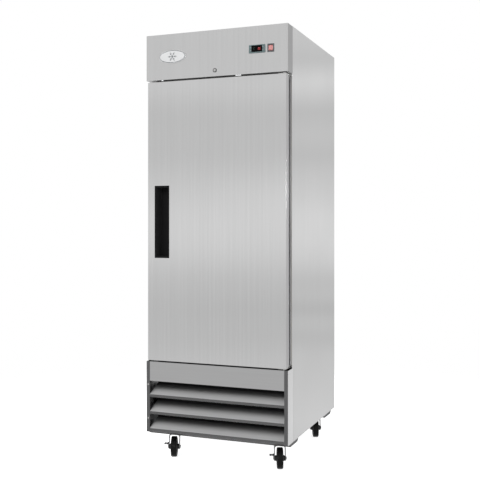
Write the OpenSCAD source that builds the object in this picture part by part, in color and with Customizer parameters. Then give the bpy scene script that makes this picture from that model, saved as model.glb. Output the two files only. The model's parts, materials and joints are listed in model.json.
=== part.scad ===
// Single-door reach-in refrigerator with a bottom-mounted condensing unit on four casters.
// Millimetres. +Z is up, the door faces -Y, and +X is to the viewer's right.
// The origin is on the floor, under the middle of the whole object.

/* [Cabinet] */
// Width over the side panels
body_w = 737; // [640:1:900]
// Depth from the door's front face to the back edge
body_d = 846; // [720:1:1040]
// Height of the body above the casters
body_h = 1962; // [1640:1:2360]
// Thickness of the outer and inner sheets
sheet_t = 1; // [0.6:0.1:2]
// Thickness of the insulated walls
wall_t = 60; // [50:1:72]
// Depth of the header and the grille in front of the cabinet
front_d = 71; // [66:1:90]
// How far the trim may stand in front of the door's face
trim_proud = 5; // [5:0.5:6]

/* [Header] */
// Height of the header panel
header_h = 224; // [190:1:268]
// Sheet thickness of the header and the grille
panel_t = 1.2; // [0.8:0.1:2]
// Gap between the header and the door
gap_top = 8; // [6:0.5:14]
// Width of the oval badge
badge_w = 150; // [100:1:180]
// Height of the oval badge
badge_h = 71; // [50:1:85]
// Distance from the left side to the badge's centre
badge_inset = 142; // [110:1:160]

/* [Controls] */
// Width of the temperature controller
control_w = 80; // [76:1:90]
// Height of the temperature controller
control_h = 38; // [34:1:44]
// Distance from the right side to the controller's centre
control_inset = 152.5; // [146:0.5:170]
// Width of the controller's display
display_w = 50; // [40:1:52]
// Width of a controller button
button_w = 7.5; // [6:0.5:8]
// Height of a controller button
button_h = 11; // [8:0.5:12]
// Travel of a controller button
button_travel = 1; // [0.5:0.1:1.2]
// Width of the light switch
switch_w = 33; // [28:1:36]
// Height of the light switch
switch_h = 39; // [35:1:44]
// Distance from the right side to the light switch's centre
switch_inset = 84.5; // [70:0.5:88]
// Height of the controls above the header's lower edge
control_z = 115; // [90:1:140]
// Angle of the rocker to either side of level
rocker_tilt = 8; // [4:1:10]

/* [Lock] */
// Height of the lock's axis above the header's lower edge
lock_z = 29; // [24:1:34]
// Radius of the turning plug
plug_r = 6; // [5:0.5:7]
// Length of the lock's barrel behind the header's face
barrel_l = 19; // [16:1:20]
// Depth that the cam reaches into the door
cam_reach = 11; // [8:0.5:14]
// Width of the cam
cam_w = 12; // [9:0.5:14]
// Thickness of the cam
cam_t = 3; // [2:0.5:4]

/* [Door] */
// Space left beside the door on each side
door_side_gap = 8; // [6:0.5:9]
// Gap between the door and the grille
gap_low = 6; // [5:0.5:10]
// Depth of the door's steel skin
skin_d = 29; // [24:1:32]
// Thickness of the door without its gasket
door_d = 50; // [46:0.5:52]
// Space from the door's front face to the cabinet's frame
door_space = 61; // [58:0.5:64]
// Wall of the inner door panel
inner_t = 1.5; // [1:0.1:2.5]
// Width of the gasket
gasket_w = 22; // [14:1:24]
// Distance from the door's edge to the gasket
gasket_inset = 20; // [19:0.5:24]
// Width of the recessed handle
handle_w = 79; // [60:1:95]
// Height of the recessed handle
handle_h = 356; // [240:1:430]
// Distance from the door's left edge to the handle
handle_inset = 38; // [25:1:60]
// Height of the handle's lower end above the door's lower edge
handle_z = 507; // [350:1:620]
// Thickness of the door behind the handle's pocket
pocket_back = 10; // [8:0.5:22]
// Distance from the door's side to the hinge's axis
hinge_side = 15; // [13:0.5:17]
// Distance from the door's face to the hinge's axis
hinge_depth = 15; // [13:0.5:17]
// Radius of a hinge pin
pin_r = 4; // [3:0.25:5]
// Length of a hinge pin beyond its bracket
pin_l = 15; // [10:0.5:18]

/* [Grille] */
// Height of the grille
grille_h = 349; // [290:1:418]
// Height of the flat panel at the grille's top
grille_panel_h = 96; // [70:1:110]
// Width of the grille's side flanges
flange_w = 18.4; // [14:0.1:24]
// Number of louvre blades
louvres = 3; // [2:1:3]
// Height from one louvre to the next
louvre_pitch = 84; // [70:1:90]
// Height of a louvre's front lip
lip_h = 13; // [10:0.5:18]
// Depth of a louvre
louvre_d = 84; // [60:1:90]
// Rise of a louvre from front to back
louvre_rise = 40; // [20:1:48]

/* [Shelves] */
// Number of shelves
shelves = 3; // [1:1:4]
// Depth of a shelf
shelf_d = 600; // [480:1:620]
// Distance between the wires of a shelf
wire_pitch = 31; // [24:1:60]
// Radius of a shelf's frame rod
rod_r = 4; // [3:0.25:5]
// Radius of a shelf's wire
wire_r = 2; // [1.5:0.25:2.5]

/* [Casters] */
// Height from the floor to the body
caster_h = 127; // [124:1:150]
// Thickness of the rails under the body
rail_t = 5; // [3:0.5:6]
// Depth of the rails with their folded edges
rail_drop = 14; // [8:0.5:14]
// Radius of a wheel
wheel_r = 50; // [40:0.5:50]
// Width of a wheel
wheel_w = 30; // [24:1:32]
// Distance from the swivel's axis to the wheel's axle
trail = 34; // [25:1:38]
// Angle that the parked casters are turned by
caster_turn = 21; // [0:1:45]
// Distance from the left side to the left swivels
caster_left = 112; // [90:1:150]
// Distance from the right side to the right swivels
caster_right = 72; // [66:1:150]
// Distance from the front face to the front swivels
caster_front = 92; // [88:1:130]
// Distance from the back edge to the rear swivels
caster_rear = 144; // [100:1:200]

/* [Fits] */
// Radial clearance of a shaft in its hole
run_gap = 0.06; // [0.03:0.01:0.1]
// Gap between parts that move past each other
move_gap = 0.4; // [0.3:0.05:1]

/* [Hidden] */
$fn = 64;
e = 1;
hex = 6;
right_angle = 90;
half_turn = 180;
overall_h = caster_h + body_h;
overall_d = body_d + trim_proud;
front_y = trim_proud - overall_d / 2;
rear_y = front_y + body_d;
frame_y = front_y + door_space;
cab_y = front_y + front_d;
base_z = caster_h;
grille_top = base_z + grille_h;
header_z = overall_h - header_h;
half_w = body_w / 2;
// The space inside the insulated walls
cav_w = body_w - 2 * wall_t;
cav_z0 = grille_top + wall_t;
cav_z1 = overall_h - wall_t;
cav_y0 = cab_y + wall_t;
cav_y1 = rear_y - wall_t;
open_z1 = header_z - wall_t;
// The door
door_w = body_w - 2 * door_side_gap;
door_z = grille_top + gap_low;
door_top = header_z - gap_top;
half_door = door_w / 2;
inner_inset = 3;
dam_t = door_space - door_d - 3;
dam_w = 20;
dam_gap = 6;
// The hinges
hinge_x = half_door - hinge_side;
hinge_y = front_y + hinge_depth;
bush_r = pin_r + 3;
bush_flange_r = bush_r + 2;
bush_flange_t = 1.2;
bush_l = pin_l + 1;
bracket_t = 3;
bracket_w = 40;
bracket_leg = 12;
bracket_nose = 10;
// The handle
handle_x0 = -half_door + handle_inset;
handle_z0 = door_z + handle_z;
handle_proud = 1.5;
handle_frame = 6;
handle_frame_end = 10;
tub_t = 2;
pocket_d = door_d - pocket_back;
pocket_lean = 12;
// The controller, with two buttons on each side of its display
control_x = half_w - control_inset;
controls_z = header_z + control_z;
control_body_gap = 4.5;
control_body_w = control_w - 2 * control_body_gap;
control_body_h = control_h - 2 * control_body_gap;
control_body_l = 45;
display_h = 24;
display_t = 2;
display_sink = 0.6;
button_proud = 4.8;
button_pitch = 15;
button_x = (display_w + control_body_w) / 4;
button_gap = 0.3;
button_room = button_travel + 0.6;
// The light switch
switch_x = half_w - switch_inset;
switch_bezel_t = 2;
switch_wall = 5.5;
switch_body_w = switch_w - 6;
switch_body_h = switch_h - 6;
switch_body_l = 26;
rocker_w = switch_w - 2 * switch_wall - 2 * move_gap;
rocker_r = switch_h / 2 - switch_wall - move_gap;
rocker_depth = 6;
rocker_valley = 7;
rocker_back = 6;
trunnion_r = 1.5;
trunnion_l = 1.5;
// The lock and the slot for its cam
lock_h = header_z + lock_z;
barrel_r = plug_r + 2.4;
barrel_flange_r = plug_r + 4;
barrel_flange_t = 2;
plug_proud = 2.6;
keyway_w = 1.6;
keyway_h = 7;
cam_l = lock_z + gap_top + cam_reach;
cam_y = front_y + barrel_l + move_gap;
slot_gap = 3;
slot_t = cam_t + 2 * slot_gap;
// The badge
badge_z = 112;
badge_t = 1.5;
badge_steps = 48;
// The grille
flange_x = half_w - flange_w;
louvre_z = 18;
louvre_fold = 15;
louvre_end_gap = 0.5;
screw_r = 4;
screw_t = 1.5;
screw_zs = [68, 235];
// The condensing unit's bay
deck_t = 2;
deck_z = base_z + deck_t;
rear_inset = 12;
vent_rows = 9;
vent_columns = 3;
vent_pitch = 28;
vent_gap = 20;
vent_w = 130;
vent_h = 8;
vent_x = -half_w + 60;
vent_z = base_z + 66;
gland_bore_r = 4.5;
gland_r = 9;
gland_flange_r = 13;
gland_flange_t = 4;
gland_l = 20;
gland_x = half_w - 110;
gland_z = base_z + 90;
// The condensing unit
coil_w = 400;
coil_h = 240;
coil_d = 56;
coil_x = -110;
coil_y = cab_y + 26;
coil_rows = 6;
coil_tube_r = 5;
coil_tube_out = 14;
shroud_gap = 12;
shroud_t = 2;
cond_fan_r = 98;
cond_fan_y = coil_y + coil_d + shroud_gap;
cond_fan_z = deck_z + coil_h / 2;
compressor_x = half_w - 170;
compressor_y = front_y + 500;
compressor_r = 88;
compressor_h = 190;
compressor_round = 42;
compressor_foot = 14;
compressor_base = 190;
terminal_w = 70;
terminal_d = 26;
terminal_h = 80;
terminal_z = 60;
pan_w = 300;
pan_d = 220;
pan_h = 45;
pan_t = 2;
pan_x = -130;
pan_y = rear_y - 190;
// The evaporator under its cover, and the lamp
cover_h = 195;
cover_y = cav_y0 + 24;
cover_d = 330;
cover_z = cav_z1 - sheet_t - cover_h;
cover_slots = 6;
cover_slot_w = 180;
cover_slot_d = 10;
cover_slot_pitch = 20;
cover_slot_y = 190;
evap_w = cav_w - 150;
evap_d = 120;
evap_h = 140;
evap_y = cover_y + cover_d - evap_d - 20;
evap_fan_r = 70;
evap_fan_z = cover_z + cover_h / 2;
lamp_w = 300;
lamp_d = 26;
lamp_h = 12;
lamp_y = 18;
// Fans and their motors
fan_blades = 5;
fan_hub_r = 22;
fan_hub_l = 20;
fan_pitch = 32;
fan_chord = 0.55;
fan_space = 4;
blade_t = 1.6;
fan_gap = 6;
motor_r = 34;
motor_l = 46;
shaft_r = 3;
strap_w = 16;
strap_t = 2;
strap_foot = 10;
// Shelf supports
pilaster_w = 22;
pilaster_t = 8;
pilaster_z0 = cav_z0 + 40;
pilaster_z1 = open_z1 - 30;
pilaster_pitch = 50;
pilaster_slot_w = 10;
pilaster_slot_h = 4;
pilaster_slot_d = 2;
pilaster_front = 90;
pilaster_rear = 110;
pilaster_ys = [cab_y + pilaster_front, cav_y1 - pilaster_rear];
clip_l = 15;
clip_h = 12;
clip_w = 16;
clip_t = 3;
// Shelves
shelf_gap = 3;
shelf_w = cav_w - 2 * sheet_t - 2 * pilaster_t - 2 * shelf_gap;
shelf_y0 = cab_y + 35;
shelf_step = (open_z1 - cav_z0) / (shelves + 1);
rod_sides = 8;
rod_flat = rod_r * cos(half_turn / rod_sides);
cross_r = rod_r - 0.5;
cross_flat = cross_r * cos(half_turn / rod_sides);
wires = floor((shelf_w - 2 * rod_r) / wire_pitch);
weld = 0.6;
// Caster rails, plates and bolts
rail_w = 142;
rail_slant = 16;
rail_wall = 7;
plate_t = 4;
plate_w = 80;
plate_l = 96;
plate_z = base_z - rail_t - plate_t;
bolt_r = 4;
bolt_gap = 0.25;
bolt_head_r = 6.5;
bolt_head_t = 5;
bolt_dx = 29;
bolt_dy = 38;
// The swivel pin and the fork
king_r = 6;
king_head_r = 10;
king_head_t = 3;
crown_t = 5;
crown_z = wheel_r * 2 + 6.5;
crown_nose = 8;
race_r = 26;
fork_gap_w = wheel_w + 18;
fork_t = 3.5;
fork_w = fork_gap_w + 2 * fork_t;
fork_corner = 15;
foot_r = 13;
axle_r = 5;
axle_head_r = 8;
axle_head_t = 4;
// The wheel
hub_w = fork_gap_w - 2 * move_gap;
hub_r = 15;
tread_corner = 7;
web_w = 16;
web_r = wheel_r - 14;
// The brake lever on the left leg
lever_z = wheel_r + 15;
lever_x = fork_w / 2 + 5;
lever_pin_r = 1.6;
lever_eye_r = 3.6;
lever_eye_l = 12;
lever_l = 17;
lever_t = 3;
lever_w = 26;
ear_r = 4;
ear_t = 2.5;
ear_space = 2;
sides = [-1, 1];
caster_xs = [-half_w + caster_left, half_w - caster_right];
caster_ys = [front_y + caster_front, rear_y - caster_rear];
caster_spots = [for (y = caster_ys) for (x = caster_xs) [x, y]];

// ---------- Shared shapes ----------

// A box from its lowest to its highest value on each axis
module block(x, y, z) {
    translate([x[0], y[0], z[0]])
        cube([x[1] - x[0], y[1] - y[0], z[1] - z[0]]);
}

// A box across the middle of the object
module centred_block(w, y, z) {
    block([-w / 2, w / 2], y, z);
}

// A piece drawn for the right side, on the side that is asked for
module on_side(side) {
    if (side > 0)
        children();
    else
        mirror([1, 0, 0]) children();
}

// A piece drawn for the door's lower end, at its upper end
module at_door_top() {
    translate([0, 0, door_z + door_top])
        mirror([0, 0, 1]) children();
}

// A cylinder that runs towards +Y
module rod_y(x, y, z, r, l) {
    translate([x, y, z])
        rotate([-right_angle, 0, 0])
            cylinder(r = r, h = l);
}

// A cylinder that runs towards +X
module rod_x(x, y, z, r, l) {
    translate([x, y, z])
        rotate([0, right_angle, 0])
            cylinder(r = r, h = l);
}

// A polygon in Y and Z that is extruded along X, from -w / 2 to w / 2
module across(w) {
    rotate([right_angle, 0, right_angle])
        linear_extrude(height = w, center = true)
            children();
}

// A ring that lies in a plane across Y
module frame_ring(w, z, rim, y) {
    difference() {
        centred_block(w, y, z);
        centred_block(w - 2 * rim, [y[0] - e, y[1] + e], [z[0] + rim, z[1] - rim]);
    }
}

// ---------- Cabinet ----------

module side_panel(side) {
    color("silver") on_side(side)
        block([half_w - sheet_t, half_w], [cab_y, rear_y], [base_z, overall_h - sheet_t]);
}

module side_panel_left() { side_panel(-1); }
module side_panel_right() { side_panel(1); }

module top_panel() {
    color("silver")
        centred_block(body_w, [cab_y, rear_y], [overall_h - sheet_t, overall_h]);
}

// One folded sheet: the cabinet's back and its underside over the condensing unit
module back_panel() {
    w = body_w - 2 * sheet_t;
    color("gainsboro") {
        centred_block(w, [rear_y - sheet_t, rear_y], [grille_top, overall_h - sheet_t]);
        centred_block(w, [cab_y, rear_y - sheet_t], [grille_top, grille_top + sheet_t]);
    }
}

// The foam fills the space between the outer sheets and the liner
module cabinet_foam() {
    color("khaki") difference() {
        centred_block(
            body_w - 2 * sheet_t,
            [cab_y, rear_y - sheet_t],
            [grille_top + sheet_t, overall_h - sheet_t]
        );
        centred_block(cav_w, [cav_y0, cav_y1], [cav_z0, cav_z1]);
        centred_block(cav_w, [cab_y - e, cav_y0 + e], [cav_z0, open_z1]);
    }
}

// The side sheets are stepped at the front, where the beam over the door meets them
module liner_side(side) {
    on_side(side) {
        block([cav_w / 2 - sheet_t, cav_w / 2], [cav_y0, cav_y1 - sheet_t], [cav_z0, cav_z1]);
        block([cav_w / 2 - sheet_t, cav_w / 2], [cab_y, cav_y0 + e], [cav_z0, open_z1]);
    }
}

module liner_panels() {
    color("lightgray") {
        for (side = sides)
            liner_side(side);
        centred_block(cav_w, [cav_y1 - sheet_t, cav_y1], [cav_z0, cav_z1]);
        centred_block(
            cav_w - 2 * sheet_t, [cab_y, cav_y1 - sheet_t], [cav_z0, cav_z0 + sheet_t]
        );
    }
}

// One folded sheet: the ceiling, the back of the beam over the door and the beam's underside
module liner_ceiling() {
    w = cav_w - 2 * sheet_t;
    color("lightgray") {
        centred_block(w, [cav_y0, cav_y1 - sheet_t], [cav_z1 - sheet_t, cav_z1]);
        centred_block(w, [cav_y0, cav_y0 + sheet_t], [open_z1 - sheet_t, cav_z1]);
        centred_block(w, [cab_y, cav_y0 + sheet_t], [open_z1 - sheet_t, open_z1]);
    }
}

module front_frame() {
    color("silver")
        frame_ring(body_w, [grille_top, header_z], wall_t, [frame_y, cab_y]);
}

// ---------- Inside the cabinet ----------

module pilaster(side, y) {
    face = cav_w / 2 - sheet_t - pilaster_t;
    on_side(side) difference() {
        block(
            [face, face + pilaster_t],
            [y - pilaster_w / 2, y + pilaster_w / 2],
            [pilaster_z0, pilaster_z1]
        );
        for (z = [pilaster_z0 + pilaster_pitch / 2 : pilaster_pitch : pilaster_z1 - pilaster_slot_h])
            block(
                [face - e, face + pilaster_slot_d],
                [y - pilaster_slot_w / 2, y + pilaster_slot_w / 2],
                [z, z + pilaster_slot_h]
            );
    }
}

module shelf_pilasters() {
    color("silver")
        for (side = sides)
            for (y = pilaster_ys)
                pilaster(side, y);
}

module shelf_clip(side, y, z) {
    face = cav_w / 2 - sheet_t - pilaster_t;
    on_side(side) {
        block([face - clip_l, face], [y - clip_w / 2, y + clip_w / 2], [z - clip_t, z]);
        block([face - clip_t, face], [y - clip_w / 2, y + clip_w / 2], [z - clip_h, z]);
    }
}

module shelf_clips() {
    color("gainsboro")
        for (i = [1 : shelves])
            for (side = sides)
                for (y = pilaster_ys)
                    shelf_clip(side, y, cav_z0 + i * shelf_step);
}

// An eight-sided bar that stands on a flat, along Y
module wire_y(x, z, r) {
    translate([x, shelf_y0, z])
        rotate([-right_angle, 0, 0])
            rotate([0, 0, half_turn / rod_sides])
                cylinder(r = r, h = shelf_d, $fn = rod_sides);
}

// An eight-sided bar that stands on a flat, along X
module wire_x(y, z, r) {
    translate([-shelf_w / 2 + rod_r, y, z])
        rotate([0, right_angle, 0])
            rotate([0, 0, half_turn / rod_sides])
                cylinder(r = r, h = shelf_w - 2 * rod_r, $fn = rod_sides);
}

module wire_shelf(z) {
    rod_z = z + rod_flat;
    wire_z = rod_z + cross_flat + wire_r - weld;
    for (side = sides)
        wire_y(side * (shelf_w / 2 - rod_r), rod_z, rod_r);
    for (y = [shelf_y0 + rod_r, shelf_y0 + shelf_d / 2, shelf_y0 + shelf_d - rod_r])
        wire_x(y, rod_z, cross_r);
    for (i = [0 : wires - 1])
        wire_y((i - (wires - 1) / 2) * wire_pitch, wire_z, wire_r);
}

module wire_shelves() {
    color("white")
        for (i = [1 : shelves])
            wire_shelf(cav_z0 + i * shelf_step);
}

module evaporator_coil() {
    top = cav_z1 - sheet_t;
    color("darkgray") {
        centred_block(evap_w, [evap_y, evap_y + evap_d], [top - evap_h, top]);
        for (i = [0 : coil_rows - 1])
            for (j = [0 : 1])
                rod_x(
                    -evap_w / 2 - coil_tube_out,
                    evap_y + evap_d * (j + 0.5) / 2,
                    top - evap_h * (i + 0.5) / coil_rows,
                    coil_tube_r,
                    evap_w + 2 * coil_tube_out
                );
    }
}

module evaporator_cover() {
    w = cav_w - 2 * sheet_t - 2 * shelf_gap;
    top = cav_z1 - sheet_t;
    color("lightgray") difference() {
        union() {
            centred_block(w, [cover_y, cover_y + panel_t], [cover_z, top]);
            centred_block(w, [cover_y, cover_y + cover_d], [cover_z, cover_z + panel_t]);
        }
        rod_y(0, cover_y - e, evap_fan_z, evap_fan_r + fan_gap, panel_t + 2 * e);
        for (i = [0 : cover_slots - 1])
            centred_block(
                cover_slot_w,
                [cover_y + cover_slot_y + i * cover_slot_pitch,
                 cover_y + cover_slot_y + i * cover_slot_pitch + cover_slot_d],
                [cover_z - e, cover_z + panel_t + e]
            );
    }
}

module interior_lamp() {
    top = open_z1 - sheet_t;
    color("white")
        centred_block(lamp_w, [cab_y + lamp_y, cab_y + lamp_y + lamp_d], [top - lamp_h, top]);
}

// ---------- Fans ----------

function blade_chord(r) = fan_chord * r;
function fan_half(r) = blade_chord(r) / 2 * sin(fan_pitch) + blade_t;
function fan_mid(face_y, r) = face_y + fan_space + fan_half(r);
function strap_y(face_y, r) = fan_mid(face_y, r) + fan_half(r) + fan_space;

// A hub with pitched blades that are trimmed to a circle, turning about Y
module fan(x, face_y, z, r) {
    translate([x, fan_mid(face_y, r), z]) rotate([-right_angle, 0, 0]) difference() {
        union() {
            cylinder(r = fan_hub_r, h = fan_hub_l, center = true);
            intersection() {
                cylinder(r = r, h = 4 * fan_half(r), center = true);
                for (i = [0 : fan_blades - 1])
                    rotate([0, 0, i * 2 * half_turn / fan_blades])
                        translate([r / 2 + fan_hub_r / 4, 0, 0])
                            rotate([fan_pitch, 0, 0])
                                cube([r, blade_chord(r), blade_t], center = true);
            }
        }
        cylinder(r = shaft_r + run_gap, h = 4 * fan_half(r), center = true);
    }
}

// A motor on a strap that stands off the plate round the fan
module fan_motor(x, face_y, z, r) {
    y = strap_y(face_y, r);
    reach = r + fan_gap + strap_w;
    block([x - reach, x + reach], [y, y + strap_t], [z - strap_w / 2, z + strap_w / 2]);
    for (side = sides)
        translate([x + side * (reach - strap_w / 2), 0, z])
            centred_block(strap_foot, [face_y, y], [-strap_w / 2, strap_w / 2]);
    rod_y(x, y, z, motor_r, motor_l);
    rod_y(x, fan_mid(face_y, r) - fan_hub_l / 2, z, shaft_r, y - fan_mid(face_y, r) + fan_hub_l / 2);
}

module fan_motors() {
    color("dimgray") {
        fan_motor(0, cover_y + panel_t, evap_fan_z, evap_fan_r);
        fan_motor(coil_x, cond_fan_y + shroud_t, cond_fan_z, cond_fan_r);
    }
}

module evaporator_fan() {
    color("black") fan(0, cover_y + panel_t, evap_fan_z, evap_fan_r);
}

module condenser_fan() {
    color("black") fan(coil_x, cond_fan_y + shroud_t, cond_fan_z, cond_fan_r);
}

// ---------- Header ----------

module header_panel() {
    color("silver") difference() {
        centred_block(body_w, [front_y, cab_y], [header_z, overall_h]);
        centred_block(
            body_w - 2 * panel_t,
            [front_y + panel_t, cab_y + e],
            [header_z + panel_t, overall_h - panel_t]
        );
        translate([control_x, 0, controls_z])
            centred_block(
                control_body_w,
                [front_y - e, front_y + panel_t + e],
                [-control_body_h / 2, control_body_h / 2]
            );
        translate([switch_x, 0, controls_z])
            centred_block(
                switch_body_w,
                [front_y - e, front_y + panel_t + e],
                [-switch_body_h / 2, switch_body_h / 2]
            );
        rod_y(0, front_y - e, lock_h, barrel_r + run_gap, panel_t + 2 * e);
        cam_slot(lock_z - panel_t, [header_z - e, header_z + panel_t + e]);
    }
}

// The slot that the cam swings down through, at a distance below the lock's axis
module cam_slot(drop, z) {
    block(
        [-cam_w / 2 - slot_gap, sqrt(cam_l * cam_l - drop * drop) + slot_gap],
        [cam_y - slot_gap, cam_y - slot_gap + slot_t],
        z
    );
}

module controller_bezel() {
    color("slategray") translate([control_x, 0, controls_z]) difference() {
        union() {
            centred_block(
                control_w, [front_y - trim_proud, front_y], [-control_h / 2, control_h / 2]
            );
            centred_block(
                control_body_w,
                [front_y, front_y + control_body_l],
                [-control_body_h / 2, control_body_h / 2]
            );
        }
        centred_block(
            display_w,
            [front_y - trim_proud - e, front_y - trim_proud + display_sink + display_t],
            [-display_h / 2, display_h / 2]
        );
        for (side = sides)
            for (row = sides)
                translate([side * button_x, 0, row * button_pitch / 2])
                    centred_block(
                        button_w + 2 * button_gap,
                        [front_y - trim_proud - e, front_y + button_room],
                        [-button_h / 2 - button_gap, button_h / 2 + button_gap]
                    );
    }
}

module controller_display() {
    color("black") translate([control_x, 0, controls_z])
        centred_block(
            display_w,
            [front_y - trim_proud + display_sink, front_y - trim_proud + display_sink + display_t],
            [-display_h / 2, display_h / 2]
        );
}

module button(side, row) {
    color("darkslategray")
        translate([control_x + side * button_x, 0, controls_z + row * button_pitch / 2])
            centred_block(
                button_w, [front_y - button_proud, front_y], [-button_h / 2, button_h / 2]
            );
}

module button_upper_left() { button(-1, 1); }
module button_lower_left() { button(-1, -1); }
module button_upper_right() { button(1, 1); }
module button_lower_right() { button(1, -1); }

module switch_bezel() {
    hole_w = switch_w - 2 * switch_wall;
    hole_h = switch_h - 2 * switch_wall;
    color("dimgray") translate([switch_x, 0, controls_z]) difference() {
        union() {
            centred_block(
                switch_w, [front_y - switch_bezel_t, front_y], [-switch_h / 2, switch_h / 2]
            );
            centred_block(
                switch_body_w,
                [front_y, front_y + switch_body_l],
                [-switch_body_h / 2, switch_body_h / 2]
            );
        }
        centred_block(
            hole_w,
            [front_y - switch_bezel_t - e, front_y + rocker_depth + rocker_r + e],
            [-hole_h / 2, hole_h / 2]
        );
        rod_x(
            -hole_w / 2 - trunnion_l - move_gap,
            front_y + rocker_depth,
            0,
            trunnion_r + run_gap,
            hole_w + 2 * trunnion_l + 2 * move_gap
        );
    }
}

// The rocker's ends are arcs about its pivot, and its face is a shallow V
module light_rocker() {
    rise = rocker_r * tan(rocker_tilt);
    color("crimson")
        translate([switch_x, front_y + rocker_depth, controls_z]) rotate([-rocker_tilt, 0, 0]) {
            intersection() {
                rod_x(-rocker_w / 2, 0, 0, rocker_r, rocker_w);
                across(rocker_w)
                    polygon([
                        [-rocker_valley, 0],
                        [-rocker_valley - rise, rocker_r],
                        [rocker_back, rocker_r],
                        [rocker_back, -rocker_r],
                        [-rocker_valley - rise, -rocker_r]
                    ]);
            }
            rod_x(-rocker_w / 2 - trunnion_l, 0, 0, trunnion_r, rocker_w + 2 * trunnion_l);
        }
}

module lock_barrel() {
    color("gainsboro") difference() {
        union() {
            rod_y(0, front_y - barrel_flange_t, lock_h, barrel_flange_r, barrel_flange_t);
            rod_y(0, front_y, lock_h, barrel_r, barrel_l);
        }
        rod_y(
            0, front_y - barrel_flange_t - e, lock_h, plug_r + run_gap,
            barrel_l + barrel_flange_t + 2 * e
        );
    }
}

// The plug and its cam, which points to the side when the door is unlocked
module lock_plug() {
    color("lightgray") difference() {
        union() {
            rod_y(0, front_y - plug_proud, lock_h, plug_r, cam_y + cam_t - front_y + plug_proud);
            rod_y(0, cam_y, lock_h, cam_w / 2 + e, cam_t);
            block(
                [0, cam_l - cam_w / 2],
                [cam_y, cam_y + cam_t],
                [lock_h - cam_w / 2, lock_h + cam_w / 2]
            );
            rod_y(cam_l - cam_w / 2, cam_y, lock_h, cam_w / 2, cam_t);
        }
        block(
            [-keyway_w / 2, keyway_w / 2],
            [front_y - plug_proud - e, front_y],
            [lock_h - keyway_h / 2, lock_h + keyway_h / 2]
        );
    }
}

// An oval plate without any mark
module badge_plate() {
    color("white")
        translate([-half_w + badge_inset, front_y, header_z + badge_z])
            rotate([right_angle, 0, 0])
                linear_extrude(height = badge_t)
                    polygon([
                        for (i = [0 : badge_steps - 1])
                            let (a = i * 2 * half_turn / badge_steps)
                                [badge_w / 2 * cos(a), badge_h / 2 * sin(a)]
                    ]);
}

// ---------- Hinges ----------

// The lower bracket: a plate under the door, a leg on the frame and the pin
module hinge_bracket() {
    z0 = door_z - bush_flange_t - move_gap - bracket_t;
    x = [hinge_x - bracket_w + bracket_nose, hinge_x + bracket_nose];
    block(x, [hinge_y, frame_y], [z0, z0 + bracket_t]);
    block(x, [frame_y - bracket_t, frame_y], [z0, z0 + bracket_t + bracket_leg]);
    translate([hinge_x, hinge_y, z0])
        cylinder(r = bracket_nose, h = bracket_t);
    translate([hinge_x, hinge_y, z0 + bracket_t])
        cylinder(r = pin_r, h = pin_l);
}

module hinge_brackets() {
    color("gainsboro") {
        hinge_bracket();
        at_door_top() hinge_bracket();
    }
}

module door_bush() {
    translate([hinge_x, hinge_y, door_z]) difference() {
        union() {
            cylinder(r = bush_r, h = bush_l);
            translate([0, 0, -bush_flange_t])
                cylinder(r = bush_flange_r, h = bush_flange_t);
        }
        translate([0, 0, -bush_flange_t - e])
            cylinder(r = pin_r + run_gap, h = bush_l + bush_flange_t + 2 * e);
    }
}

module door_bushes() {
    color("white") {
        door_bush();
        at_door_top() door_bush();
    }
}

// ---------- Door ----------

module bush_holes() {
    for (z = [door_z - e, door_top - bush_l])
        translate([hinge_x, hinge_y, z])
            cylinder(r = bush_r, h = bush_l + e);
}

// The outside of the handle's tub, which its holes follow
module tub_outline() {
    block(
        [handle_x0 + handle_frame - tub_t, handle_x0 + handle_w - handle_frame + tub_t],
        [front_y, front_y + pocket_d + tub_t],
        [handle_z0 + handle_frame_end - tub_t, handle_z0 + handle_h - handle_frame_end + tub_t]
    );
}

module lock_slot() {
    cam_slot(lock_z + gap_top, [door_top - cam_reach - slot_gap, door_top + e]);
}

module door_skin() {
    color("silver") difference() {
        centred_block(door_w, [front_y, front_y + skin_d], [door_z, door_top]);
        centred_block(
            door_w - 2 * sheet_t,
            [front_y + sheet_t, front_y + skin_d + e],
            [door_z + sheet_t, door_top - sheet_t]
        );
        translate([0, -e, 0]) tub_outline();
        tub_outline();
        lock_slot();
        bush_holes();
    }
}

module door_foam() {
    inset = inner_inset + inner_t;
    color("khaki") difference() {
        union() {
            centred_block(
                door_w - 2 * sheet_t,
                [front_y + sheet_t, front_y + skin_d],
                [door_z + sheet_t, door_top - sheet_t]
            );
            centred_block(
                door_w - 2 * inset,
                [front_y + skin_d - e, front_y + door_d - inner_t],
                [door_z + inset, door_top - inset]
            );
        }
        tub_outline();
        lock_slot();
        bush_holes();
    }
}

// The inner panel is a pan with a raised ring inside the gasket
module door_inner_panel() {
    back = front_y + door_d;
    ring = gasket_inset + gasket_w + dam_gap;
    color("gray") {
        difference() {
            centred_block(
                door_w - 2 * inner_inset,
                [front_y + skin_d, back],
                [door_z + inner_inset, door_top - inner_inset]
            );
            centred_block(
                door_w - 2 * inner_inset - 2 * inner_t,
                [front_y + skin_d - e, back - inner_t],
                [door_z + inner_inset + inner_t, door_top - inner_inset - inner_t]
            );
        }
        frame_ring(door_w - 2 * ring, [door_z + ring, door_top - ring], dam_w, [back, back + dam_t]);
    }
}

module door_gasket() {
    color("dimgray")
        frame_ring(
            door_w - 2 * gasket_inset,
            [door_z + gasket_inset, door_top - gasket_inset],
            gasket_w,
            [front_y + door_d, frame_y - move_gap]
        );
}

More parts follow.
